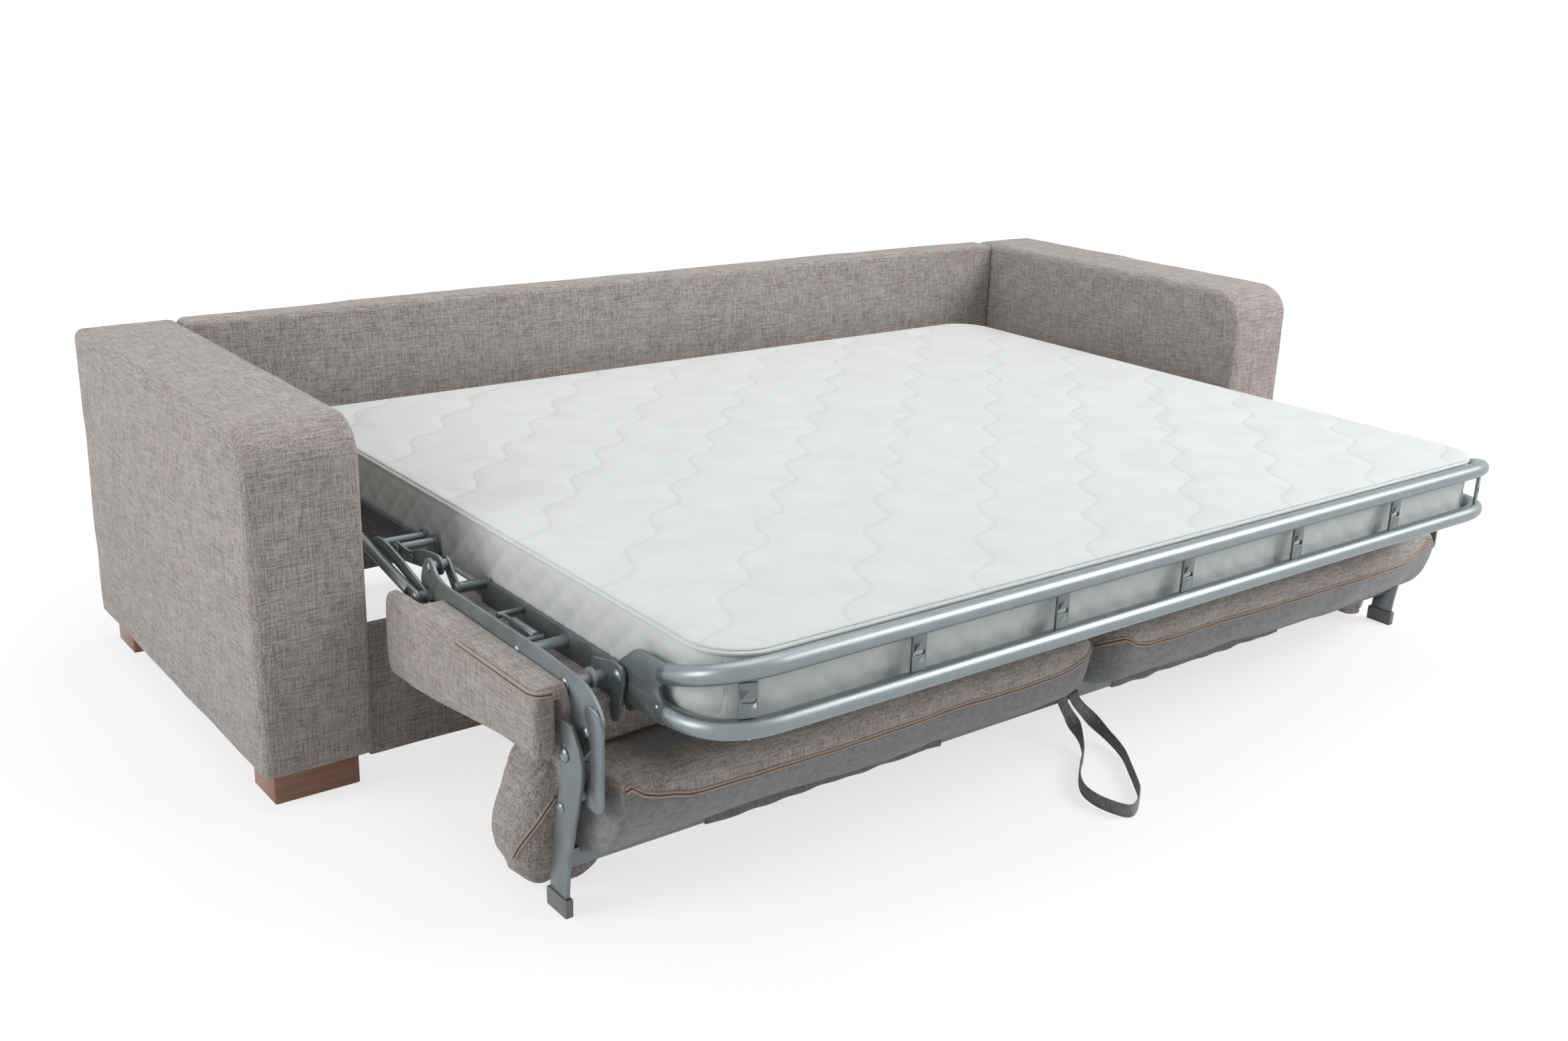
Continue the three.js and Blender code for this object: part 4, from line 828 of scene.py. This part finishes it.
# Outlines of the back cushion in the side plane, as y, z: along its length, where it sags near its outer end, and at
# that end, behind the leg
PILLOW_OUTLINE = ((-353, 138), (-368, 92), (-395, 66), (-435, 60), (-464, 63), (-473, 78), (-477, 95), (-508, 101),
                  (-540, 104), (-572, 121), (-596, 147), (-607, 172), (-613, 200), (-611, 226), (-588, 238),
                  (-500, 240), (-420, 238), (-375, 205))
SAGGING_OUTLINE = ((-353, 128), (-372, 60), (-398, 18), (-440, 13), (-468, 20), (-474, 60), *PILLOW_OUTLINE[6:])
END_OUTLINE = ((-353, 128), (-366, 62), (-390, 22), (-425, 12), (-452, 20), (-463, 50), (-467, 90), (-467, 120),
               (-467, 150), (-466, 180), (-464, 205), (-458, 224), (-446, 235), (-430, 240), (-415, 240),
               (-400, 238), (-385, 226), (-366, 190))


# Rings and rows of the cushion's skin: the first ring with piping, the rings at the outer end without a gusset, the
# row where the gusset starts, and the rows that face forwards
FIRST_PIPED, PLAIN_END_RINGS, GUSSET_ROW = 4, 12, 40
FRONT_ROWS = (62, 90)


def pillow_sections():
    """The rings of the back cushion from its inner end to its outer one, as x, y, z."""
    count = 120
    full, sagging, end = (smooth_path([(0, *stop) for stop in outline], count, closed=True)[:, 1:]
                          for outline in (PILLOW_OUTLINE, SAGGING_OUTLINE, END_OUTLINE))
    sections = []
    steps = np.array((0.998, 0.985, 0.96, 0.92, 0.86, 0.78, 0.68, 0.56, 0.42, 0.27, 0.12))
    middle, inner_x, inner_reach = np.array((-500, 168)), 5, 62
    for t in steps:
        ring = middle + (full - middle) * (1 - t ** 2.3) ** (1 / 2.3)
        sections.append((np.full(count, inner_x + inner_reach * (1 - t)), ring))
    for x in (*np.arange(inner_x + inner_reach, 968, 9), 972, 975, 978, 981, 984, 987, 990):
        ring = full + (sagging - full) * smoothstep(x, 880, 960)
        sections.append((np.full(count, x), ring + (end - ring) * smoothstep(x, 972, 991)))
    middle, outer_x = np.array((-412, 92)), 992
    for t in steps[::-1]:
        ring = middle + (end - middle) * (1 - t ** 2.6) ** (1 / 2.2)
        reach = 46 + 20 * np.exp(-((ring[:, 1] - 85) / 60) ** 2)
        sections.append((outer_x + reach * t, ring))
    return np.array([np.column_stack(section) for section in sections])


def pillow_folds(points, side):
    """Height of the folds and hollows of the back cushion's cover."""
    x, y, z = points.T
    outer = smoothstep(x, 700, 1000)
    long_folds = ripple(points * (0.12, 1, 1), 60, 61 + side) * 1.6
    hollows = ripple(points, 230, 63 + side) * 2.4 + ripple(points, 80, 65 + side) * 0.7
    low = smoothstep(z, 95, 25) * smoothstep(x, 900, 1010)
    low_folds = (0.5 - abs(ripple(points * (0.2, 0.4, 1.6), 60, 67 + side))) * 9 * low
    pinch = smoothstep(z, 165, 225) * smoothstep(x, 960, 1000)
    angle = np.arctan2(x - 985, 245 - z) * 300
    fan = np.column_stack([angle, y, np.zeros(len(x))])
    pinch_folds = (ripple(fan * (1, 0.6, 1), 52, 69 + side) - 0.5) * 6.5 * pinch
    return (long_folds + hollows) * (1 - 0.4 * outer) + low_folds + pinch_folds


def piping_rows(rings):
    """For each ring the place of the piping on it, as a row number with a fraction, smoothed along the cushion."""
    rows = []
    for ring in rings:
        x = ring[:, 0].mean()
        wanted = 168 + 85 * np.clip((x - 640) / 360, 0, 1) ** 3 + 50 * smoothstep(x, 150, 15)
        face = [j for j in range(*FRONT_ROWS) if ring[j, 1] < -560 and ring[j, 2] < wanted]
        j = max(face) if face else FRONT_ROWS[0]
        rise = ring[j + 1, 2] - ring[j, 2]
        rows.append(j + float(np.clip((wanted - ring[j, 2]) / max(rise, 0.1), 0, 1)))
    reach = 4
    width = reach * 2 + 1
    return np.convolve(np.pad(rows, reach, mode="edge"), np.ones(width) / width, mode="valid")


def back_cushion(side_name, side):
    """The sagging back cushion, with its grey gusset below the piping."""
    rings = pillow_sections()
    length, count = rings.shape[:2]
    points = rings.reshape(-1, 3).copy()
    quads = ring_faces(length, count)
    out = normals_of(points, quads)
    middle_ring = slice((length // 2) * count, (length // 2 + 1) * count)
    turned = out[middle_ring, 1] @ (points[:count, 1] - points[:count, 1].mean()) < 0
    if turned:
        quads = [quad[::-1] for quad in quads]
        out = -out
    middle = 1 - np.clip(abs(points[:, 0] - 500) / 470, 0, 1) ** 4
    front = smoothstep(-points[:, 1], 520, 600)
    height = front * middle * 6 + pillow_folds(points, side)
    points += out * height[:, None]
    points[:, 2] = np.clip(points[:, 2], 8, 243)
    points[:, 0] = np.clip(points[:, 0], 4, 1059)
    grid, grid_out = points.reshape(length, count, 3), out.reshape(length, count, 3)
    piped = [i for i in range(FIRST_PIPED, length) if rings[i, :, 0].mean() < 970]
    rows = piping_rows(rings)
    seam = np.arange(count)
    for i in piped:
        grid[i] -= grid_out[i] * (1.8 * np.exp(-((seam - rows[i]) / 0.8) ** 2))[:, None]
    points = np.vstack([points, grid[0].mean(0), grid[-1].mean(0)])
    start, last = length * count, (length - 1) * count
    for j in range(count):
        k = (j + 1) % count
        near, far = [k, j, start], [last + j, last + k, start + 1]
        quads += [near[::-1], far[::-1]] if turned else [near, far]
    flipped, quads = mirrored(points, quads, side)
    piece = add_mesh("back_cushion_cover_" + side_name, flipped, quads, finish(woven_cover))
    piece.data.materials.append(finish(grey_gusset))
    for i in range(FIRST_PIPED, length - PLAIN_END_RINGS):
        for j in range(GUSSET_ROW, int(round(rows[min(i, piped[-1])]))):
            piece.data.polygons[i * count + j].material_index = 1
    put(piece, "back_frame", ["back_cushion_" + side_name])
    path, across = [], []
    for i in piped:
        j, share = int(rows[i]), rows[i] % 1
        spot = grid[i, j] * (1 - share) + grid[i, j + 1] * share
        path.append(spot + grid_out[i, j] * 1.4)
        across.append(grid[i, j + 2] - grid[i, j - 1])
    flip = (side, 1, 1)
    twin_tape("back_tape_" + side_name, np.array(path) * flip, np.array(across) * flip, 2.9, 2.2, "back_frame")
    end_zip(side_name, side, piece)


def end_zip(side_name, side, cushion):
    """The zip on the cushion's bulging end, laid on its surface."""
    tree = BVHTree.FromObject(cushion, bpy.context.evaluated_depsgraph_get())
    path = []
    for x, y, z in smooth_path([(995, -468, 164), (1022, -466, 130), (1046, -454, 92), (1050, -444, 72)], 22):
        start = row((side * (x + 80), y - 80, z))
        hit, normal, _, _ = tree.ray_cast(Vector(start), Vector((-side, 1, 0)).normalized())
        if hit:
            spot = hit + normal * 0.0012
            path.append((spot.x / MILLIMETRE, spot.y / MILLIMETRE - DRAWING_SHIFT, spot.z / MILLIMETRE))
    across = np.tile((side * 0.5, 0.5, 0.7), (len(path), 1))
    twin_tape("end_zip_" + side_name, path, across, 2.6, 1.9, "back_frame")


# Hems on the crossbar: name, first and last x
SLEEVES = (("left", -765, -287), ("right", 135, 623))


def crossbar_sleeves():
    """Hems of the cushions' covers, wrapped round the crossbar, and the tab beside the strap."""
    cover = finish(grey_gusset)
    rim, short_rim = (0, 1, 2.5, 5), (0, 1, 2)
    for name, x0, x1 in SLEEVES:
        low, high = (x0, -513.4, 65), (x1, -478.5, 99)
        raw, points, faces = soft_block(low, high, (9, 5, 5), (rim, rim, rim), axis=0, radii=[[4, 4], [4, 4]], edge=2)
        out = normals_of(points, faces)
        sag = smoothstep(raw[:, 2], 84, 66)
        points += out * (ripple(points * (1, 0.3, 0.3), 60, 71) * 1.5 * sag)[:, None]
        piece = add_mesh("sleeve_" + name, points, faces, cover)
        put(piece, "back_frame")
    low, high = (-92, -516, 82), (-52, -508, 104)
    rims = (short_rim, short_rim, short_rim)
    raw, points, faces = soft_block(low, high, (4, 2, 4), rims, axis=1, radii=[[2, 2], [2, 2]], edge=2)
    points += normals_of(points, faces) * (ripple(points, 26, 75) * 1.2)[:, None]
    put(add_mesh("crossbar_tab", points, faces, cover), "back_frame")


# The strap's stops: x, the distance in front of the crossbar, and the height as a share of its fall
STRAP_STOPS = ((0, 0, 1), (2, 5, 0.78), (10, 18, 0.44), (4, 48, 0.14), (-22, 80, 0), (-65, 114, 0), (-102, 146, 0),
               (-126, 178, 0), (-134, 213, 0), (-130, 245, 0), (-119, 268, 0), (-98, 266, 0), (-58, 238, 0),
               (-28, 203, 0), (-4, 172, 0), (14, 149, 0), (32, 124, 0), (47, 93, 0.03), (56, 58, 0.12),
               (50, 24, 0.4), (34, 5, 0.76), (30, 0, 1))
STRAP_WIDTH, STRAP_THICKNESS, STRAP_SEWN = 24, 3, 84


def pull_strap():
    """A flat woven loop that lies on its edge on the floor."""
    face_y, floor = -513.1, (STRAP_WIDTH + STRAP_THICKNESS) / 2
    stops = [(x, face_y - ahead, floor + (STRAP_SEWN - floor) * share) for x, ahead, share in STRAP_STOPS]
    path = smooth_path(stops, 150)
    along = np.gradient(path, axis=0)
    along /= np.linalg.norm(along, axis=1, keepdims=True)
    rise = smoothstep(path[:, 2], floor, STRAP_SEWN * 0.8)
    side = np.stack([rise, np.zeros(len(path)), 1 - rise], 1)
    side -= along * np.einsum("ij,ij->i", side, along)[:, None]
    side /= np.linalg.norm(side, axis=1, keepdims=True)
    face = np.cross(side, along)
    w, t = STRAP_WIDTH / 2, STRAP_THICKNESS / 2
    section = [(-w, 0), (-w + 1, -t * 0.8), (-w + 3, -t), (-w + 4.2, -t * 0.55), (-w + 5.4, -t), (0, -t * 1.1),
               (w - 5.4, -t), (w - 4.2, -t * 0.55), (w - 3, -t), (w - 1, -t * 0.8)]
    section = section + [(w, 0)] + [(-a, -b) for a, b in section[1:]]
    rings = np.stack([path + side * a + face * b for a, b in section], 1)
    count = len(section)
    points = rings.reshape(-1, 3)
    faces = ring_faces(len(path), count)
    outward = np.einsum("ij,ij->i", normals_of(points, faces), points - np.repeat(path, count, 0)).mean()
    last = (len(path) - 1) * count
    faces += [list(range(count))[::-1], list(range(last, last + count))]
    if outward < 0:
        faces = [face[::-1] for face in faces]
    piece = add_mesh("pull_strap_webbing", points, faces, finish(grey_gusset))
    put(piece, "back_frame", ["pull_strap"])
    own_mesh(piece)


# Metalwork

# Bumper tubes: x where they turn back, y of their front run, radius, size of the bend, and y of their ends
BUMPER = {"x": 917, "y": -752, "radius": 14.5, "bend": 104, "start_y": -628}


def bumper_path(z, start_z):
    """Centres of a bumper tube from one foot blade to the other."""
    x, y, bend = BUMPER["x"], BUMPER["y"], BUMPER["bend"]
    knee = start_z + (z - start_z) * 0.15
    a, b, c = (np.array(p) for p in ((x - bend, y, z), (x, y, z), (x, y + bend, knee)))
    corner = [a * (1 - t) ** 2 + b * 2 * t * (1 - t) + c * t * t for t in np.linspace(0, 1, 22)]
    straight = [np.array((side_x, y, z)) for side_x in np.linspace(0, x - bend, 12)[:-1]]
    half = straight + corner + [np.array((x, BUMPER["start_y"], start_z))]
    other = [point * (-1, 1, 1) for point in half[:0:-1]]
    return np.array(other + half)


def bumper_tubes():
    """The two round tubes at the foot, smoothly bent."""
    paint = finish(bright_tube)
    upper = add_mesh("bumper_upper_pipe", *tube_mesh(bumper_path(431, 394), BUMPER["radius"], 28), paint)
    put(upper, "foot_section", ["bumper_upper_tube"])
    lower = add_mesh("bumper_lower_pipe", *tube_mesh(bumper_path(346, 337), BUMPER["radius"], 28), paint)
    put(lower, "foot_section", ["bumper_lower_tube"])


def coil_springs():
    """Springs from the lower tube to the foot net, each with a hook and a tail."""
    parts = []
    count, reach, z = 12, 850, 325
    y0, y1 = -738, -704
    wide, wire = 4.8, 1.25
    steps = settings().steel.curls * 10
    turn = np.arange(steps + 1) / 10 * 2 * math.pi
    for i in range(count):
        x = (i / (count - 1) * 2 - 1) * reach
        body = np.stack([x + np.cos(turn) * wide, np.linspace(y0 + 6, y1 - 5, steps + 1),
                         z + np.sin(turn) * wide], 1)
        hook = [(x + wide, y0 + 1, 347), (x + wide, y0 + 1, 336), (x + wide, y0 + 3, 328)]
        tail = [(x + 2, y1 - 3, z + 1), (x, y1 + 1, z + 2.5), (x - 1, y1 + 4, z + 1)]
        parts.append(tube_mesh(np.concatenate([hook, body, tail]), wire, 6))
    piece = add_mesh("coil_springs", *gathered(parts), finish(zinc_plate))
    put(piece, "foot_section")


# Wire nets: piece, CAD node, body, reach in x, first and last y, columns and rows
WIRE_NETS = (
    ("head_wires", "head_mesh", "head_section", 904.7, 70, 713.5, 24, 8),
    ("middle_wires", "middle_mesh", "seat_frame", 904.7, -516, -88, 24, 6),
    ("foot_wires", "foot_mesh", "foot_section", 900, -702, -534, 24, 2),
)


def wire_net(name, node, body, x, y0, y1, columns, rows):
    """Round wires that cross, one row above the other."""
    z, radius = 324.3, 1.9
    parts = []
    for place in np.linspace(-x + radius, x - radius, columns + 1):
        parts.append(tube_mesh([(place, y0 + radius, z - 0.9), (place, y1 - radius, z - 0.9)], radius * 0.75, 8))
    for place in np.linspace(y0 + radius, y1 - radius, rows + 1):
        parts.append(tube_mesh([(-x + radius, place, z + 0.6), (x - radius, place, z + 0.6)], radius * 0.75, 8))
    piece = add_mesh(name, *gathered(parts), finish(zinc_plate))
    put(piece, body, [node])


def dome(centre, way, radius, height):
    """A domed head on a pin along X, its flat back at the centre."""
    sides = 22
    profile = [(math.cos(a), math.sin(a)) for a in np.linspace(0, math.pi / 2, 6)[:-1]]
    x, y, z = centre
    points = []
    for wide, out in profile:
        for angle in np.arange(sides) / sides * 2 * math.pi:
            points.append((x + way * out * height, y + math.cos(angle) * wide * radius,
                           z + math.sin(angle) * wide * radius))
    points.append((x + way * height, y, z))
    points.append((x, y, z))
    rings = len(profile)
    faces = ring_faces(rings, sides)
    for j in range(sides):
        k = (j + 1) % sides
        faces.append([(rings - 1) * sides + j, (rings - 1) * sides + k, rings * sides])
        faces.append([k, j, rings * sides + 1])
    return points, faces if way > 0 else [face[::-1] for face in faces]


# Rivet heads: body, then x of the flat back, way along x, y, z and radius
RIVETS = (
    ("base", 997.7, -1, 269.466, 218.923, 10.5), ("base", 997.7, -1, 519.466, 218.923, 10.5),
    ("head_section", 974.3, 1, 83, 367, 10.5), ("head_section", 1002.3, 1, 125, 364.62, 10.5),
    ("head_section", 1003.3, 1, 430, 345, 10.5), ("head_section", 1003.3, 1, 680, 345, 10.5),
    ("fold_links", 973.7, 1, 27.9, 369.6, 5.2), ("tie_links", 1017.7, 1, -74, 342, 10.5),
    ("seat_frame", 914.2, -1, -526, 354, 10.5), ("seat_frame", 927.7, 1, -526, 354, 10.5),
    ("seat_frame", 959.7, 1, -100, 354, 10.5), ("seat_frame", 1011.3, 1, -524, 257, 10.5),
    ("seat_frame", 989.7, 1, -70, 386, 8.4), ("seat_frame", 989.7, 1, -354, 345, 10.5),
    ("seat_frame", 989.7, 1, -490, 345, 10.5), ("seat_frame", 989.7, 1, -570, 331, 10.5),
    ("seat_frame", 989.7, 1, -547, 294, 8.4), ("foot_section", 919.2, 1, -613.2, 337, 6.3),
    ("back_frame", 1010.7, 1, -512, 171, 7.4),
)


def rivets():
    """Domed heads over the flat rivet heads of the CAD plates."""
    steel = finish(rivet_steel)
    for body in sorted({item[0] for item in RIVETS}):
        heads = [dome((x, y, z), way, radius + 0.6, 4.9 if radius > 7 else 3.2)
                 for owner, x, way, y, z, radius in RIVETS if owner == body]
        for side_name, side in SIDES:
            points, faces = mirrored(*gathered(heads), side)
            put(add_mesh("rivets_%s_%s" % (body, side_name), points, faces, steel), body)


def dress_frame():
    """Finishes and soft edges for the CAD pieces that stay in view."""
    finishes = (("foot_front", brown_wood), ("foot_rear", brown_wood), ("leg_cap", grey_plastic))
    for name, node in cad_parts.items():
        if node.hide_render:
            continue
        kind = next((make for start, make in finishes if name.startswith(start)), painted_steel)
        node.data.materials.clear()
        node.data.materials.append(finish(kind))
        mesh = node.data
        mesh.normals_split_custom_set([(0, 0, 0)] * len(mesh.loops))
        mesh.polygons.foreach_set("use_smooth", [True] * len(mesh.polygons))
        weld = node.modifiers.new("weld", "WELD")
        weld.merge_threshold = 0.00001
        bevel = node.modifiers.new("bevel", "BEVEL")
        bevel.width = settings().trim.wood_bevel if kind is brown_wood else settings().steel.bevel
        bevel.segments = 2
        bevel.limit_method = "ANGLE"
        bevel.angle_limit = math.radians(38)
        bevel.harden_normals = True


# Stage

def floor_finish(nodes):
    """White paper: shaded near the sofa bed and plain white further off, to the camera and in reflections."""
    tree = nodes.tree
    path = nodes.node("ShaderNodeLightPath").node.outputs
    seen = Value(nodes, path["Is Camera Ray"]) + Value(nodes, path["Is Glossy Ray"])
    paper = nodes.set(Base_Color=(0.9, 0.9, 0.9, 1), Roughness=0.9)
    far = nodes.node("ShaderNodeVectorMath", {"operation": "LENGTH"}, {0: nodes.places()}, "Value")
    glow = nodes.node("ShaderNodeEmission", None, {"Color": (1, 1, 1, 1), "Strength": 1.12})
    near_share, shaded_until, plain_from = 0.64, 1.5, 3.0
    lift = nodes.range(far, shaded_until, plain_from) * (1 - near_share) + near_share
    mixed = nodes.node("ShaderNodeMixShader", None, {0: lift * nodes.range(seen, 0, 1)})
    tree.links.new(nodes.shader.outputs[0], mixed.node.inputs[1])
    tree.links.new(glow, mixed.node.inputs[2])
    tree.links.new(mixed, tree.nodes["Material Output"].inputs[0])
    return paper


def floor():
    """A wide flat sheet under the sofa bed."""
    reach = 60000
    points = [(-reach, -reach, 0), (reach, -reach, 0), (reach, reach, 0), (-reach, reach, 0)]
    piece = add_mesh("floor", points, [[0, 1, 2, 3]], finish(floor_finish), False)


def surroundings():
    """A white world that lights the object only as much as the fill says."""
    world = bpy.data.worlds.new("surroundings")
    bpy.context.scene.world = world
    nodes = Nodes(world, "Background")
    path = nodes.node("ShaderNodeLightPath").node.outputs
    seen = (Value(nodes, path["Is Camera Ray"]) + Value(nodes, path["Is Glossy Ray"])
            + Value(nodes, path["Is Transmission Ray"]))
    fill = settings().stage.fill
    nodes.set(Color=(1, 1, 1, 1), Strength=nodes.range(seen, 0, 1) * (1 - fill) + fill)


# Soft square lamps: name, place, aim and width, in metres. The stage's settings of the same names are their powers
LAMPS = (("side", (-4.4, 0.6, 1.9), (-1.0, 0.4, 0.4), 2.2), ("front", (3.1, -2.7, 3.0), (0.9, 0.2, 0.4), 2.6),
         ("above", (0, 0.3, 3.8), (0, 0.1, 0), 3.4))


def lamps():
    """Square lamps that the camera does not see."""
    for name, place, aim, width in LAMPS:
        light = bpy.data.lights.new(name, "AREA")
        light.energy = getattr(settings().stage, name)
        light.size = width
        holder = bpy.data.objects.new(name, light)
        holder.location = place
        holder.rotation_euler = (Vector(place) - Vector(aim)).to_track_quat("Z", "Y").to_euler()
        holder.visible_camera = False
        bpy.context.scene.collection.objects.link(holder)


# Place of the camera in the drawing, and its angles in radians
EYE_PLACE = (-2012.6, -2283.8, 1274.1)
EYE_YAW, EYE_PITCH, EYE_ROLL = 0.6612, -0.3221, 0.0317


def camera():
    """The camera, where the photograph's own one stood."""
    yaw, pitch, roll = EYE_YAW, EYE_PITCH, EYE_ROLL
    forward = Vector((math.sin(yaw) * math.cos(pitch), math.cos(yaw) * math.cos(pitch), math.sin(pitch)))
    right = Vector((math.cos(yaw), -math.sin(yaw), 0))
    up = right.cross(forward)
    across = right * math.cos(roll) + up * math.sin(roll)
    above = up * math.cos(roll) - right * math.sin(roll)
    lens = bpy.data.cameras.new("view")
    lens.lens = settings().stage.lens
    lens.sensor_width = 36
    lens.sensor_fit = "HORIZONTAL"
    lens.clip_end = 200
    eye = bpy.data.objects.new("view", lens)
    turn = Matrix((across, above, -forward)).transposed().to_4x4()
    eye.matrix_world = Matrix.Translation(row(EYE_PLACE)) @ turn
    bpy.context.scene.collection.objects.link(eye)
    bpy.context.scene.camera = eye
    bpy.context.scene.view_settings.view_transform = "Standard"


# Operators

def made(operator, *names):
    """Ends an operator: an error if a piece that it makes is missing."""
    missing = [name for name in names if name not in bpy.data.objects]
    if missing:
        raise RuntimeError("%s didn't make %s" % (operator.bl_label, ", ".join(missing)))
    return {"FINISHED"}


class SOFA_OT_stage(bpy.types.Operator):
    """Makes the camera, the lights, the white surroundings and the floor"""

    bl_idname = "sofa.stage"
    bl_label = "Stage"
    bl_options = {"REGISTER", "UNDO"}

    def execute(self, context):
        camera()
        surroundings()
        lamps()
        floor()
        return made(self, "view", "floor", *(entry[0] for entry in LAMPS))


class SOFA_OT_strap(bpy.types.Operator):
    """Makes the pull strap on the crossbar"""

    bl_idname = "sofa.strap"
    bl_label = "Pull strap"
    bl_options = {"REGISTER", "UNDO"}

    def execute(self, context):
        pull_strap()
        return made(self, "pull_strap_webbing")


class SOFA_OT_body(bpy.types.Operator):
    """Covers the arms, the backrest and the front rail"""

    bl_idname = "sofa.body"
    bl_label = "Arms, backrest and front rail"
    bl_options = {"REGISTER", "UNDO"}

    def execute(self, context):
        for name, side in SIDES:
            arm_cover(name, side)
        backrest_cover()
        front_rail_cover()
        return made(self, "arm_cover_right", "arm_cover_left", "backrest_cover", "front_rail_cover")


class SOFA_OT_mattress(bpy.types.Operator):
    """Makes the quilted mattress in its four sections"""

    bl_idname = "sofa.mattress"
    bl_label = "Mattress"
    bl_options = {"REGISTER", "UNDO"}

    def execute(self, context):
        mattress()
        return made(self, *("mattress_%s_cover" % part for part in ("head", "fold", "middle", "foot")))


class SOFA_OT_seat_cushions(bpy.types.Operator):
    """Makes the upturned seat cushions with their zips"""

    bl_idname = "sofa.seat_cushions"
    bl_label = "Seat cushions"
    bl_options = {"REGISTER", "UNDO"}

    def execute(self, context):
        for name, side in SIDES:
            seat_cushion(name, side)
        return made(self, "seat_cushion_cover_right", "seat_cushion_cover_left")


class SOFA_OT_back_cushions(bpy.types.Operator):
    """Makes the back cushions and the hems round the crossbar"""

    bl_idname = "sofa.back_cushions"
    bl_label = "Back cushions"
    bl_options = {"REGISTER", "UNDO"}

    def execute(self, context):
        for name, side in SIDES:
            back_cushion(name, side)
        crossbar_sleeves()
        return made(self, "back_cushion_cover_right", "back_cushion_cover_left", "sleeve_left", "sleeve_right",
                    "crossbar_tab")


class SOFA_OT_metalwork(bpy.types.Operator):
    """Makes the bumper, its springs, the wire nets and the rivet heads, and finishes the CAD pieces"""

    bl_idname = "sofa.metalwork"
    bl_label = "Metalwork"
    bl_options = {"REGISTER", "UNDO"}

    def execute(self, context):
        bumper_tubes()
        coil_springs()
        for net in WIRE_NETS:
            wire_net(*net)
        rivets()
        dress_frame()
        return made(self, "bumper_upper_pipe", "bumper_lower_pipe", "coil_springs", *(net[0] for net in WIRE_NETS))


STEPS = (SOFA_OT_stage, SOFA_OT_strap, SOFA_OT_body, SOFA_OT_mattress, SOFA_OT_seat_cushions, SOFA_OT_back_cushions,
         SOFA_OT_metalwork)


class SOFA_PT_panel(bpy.types.Panel):
    """Lists the steps of the sofa bed"""

    bl_idname = "SOFA_PT_panel"
    bl_label = "Sofa bed"
    bl_space_type = "VIEW_3D"
    bl_region_type = "UI"
    bl_category = "Sofa bed"

    def draw(self, context):
        for step in STEPS:
            self.layout.operator(step.bl_idname)


CLASSES = (CoverSettings, MattressSettings, SteelSettings, TrimSettings, StageSettings, SofaBedSettings, *STEPS,
           SOFA_PT_panel)


def register():
    for entry in CLASSES:
        bpy.utils.register_class(entry)
    bpy.types.Scene.sofa_bed = PointerProperty(type=SofaBedSettings)


def unregister():
    del bpy.types.Scene.sofa_bed
    for entry in reversed(CLASSES):
        bpy.utils.unregister_class(entry)


def main():
    """Makes every piece in order."""
    register()
    bpy.ops.sofa.stage()
    bpy.ops.sofa.strap()
    bpy.ops.sofa.body()
    bpy.ops.sofa.mattress()
    bpy.ops.sofa.seat_cushions()
    bpy.ops.sofa.back_cushions()
    bpy.ops.sofa.metalwork()


if __name__ == "__main__":
    main()
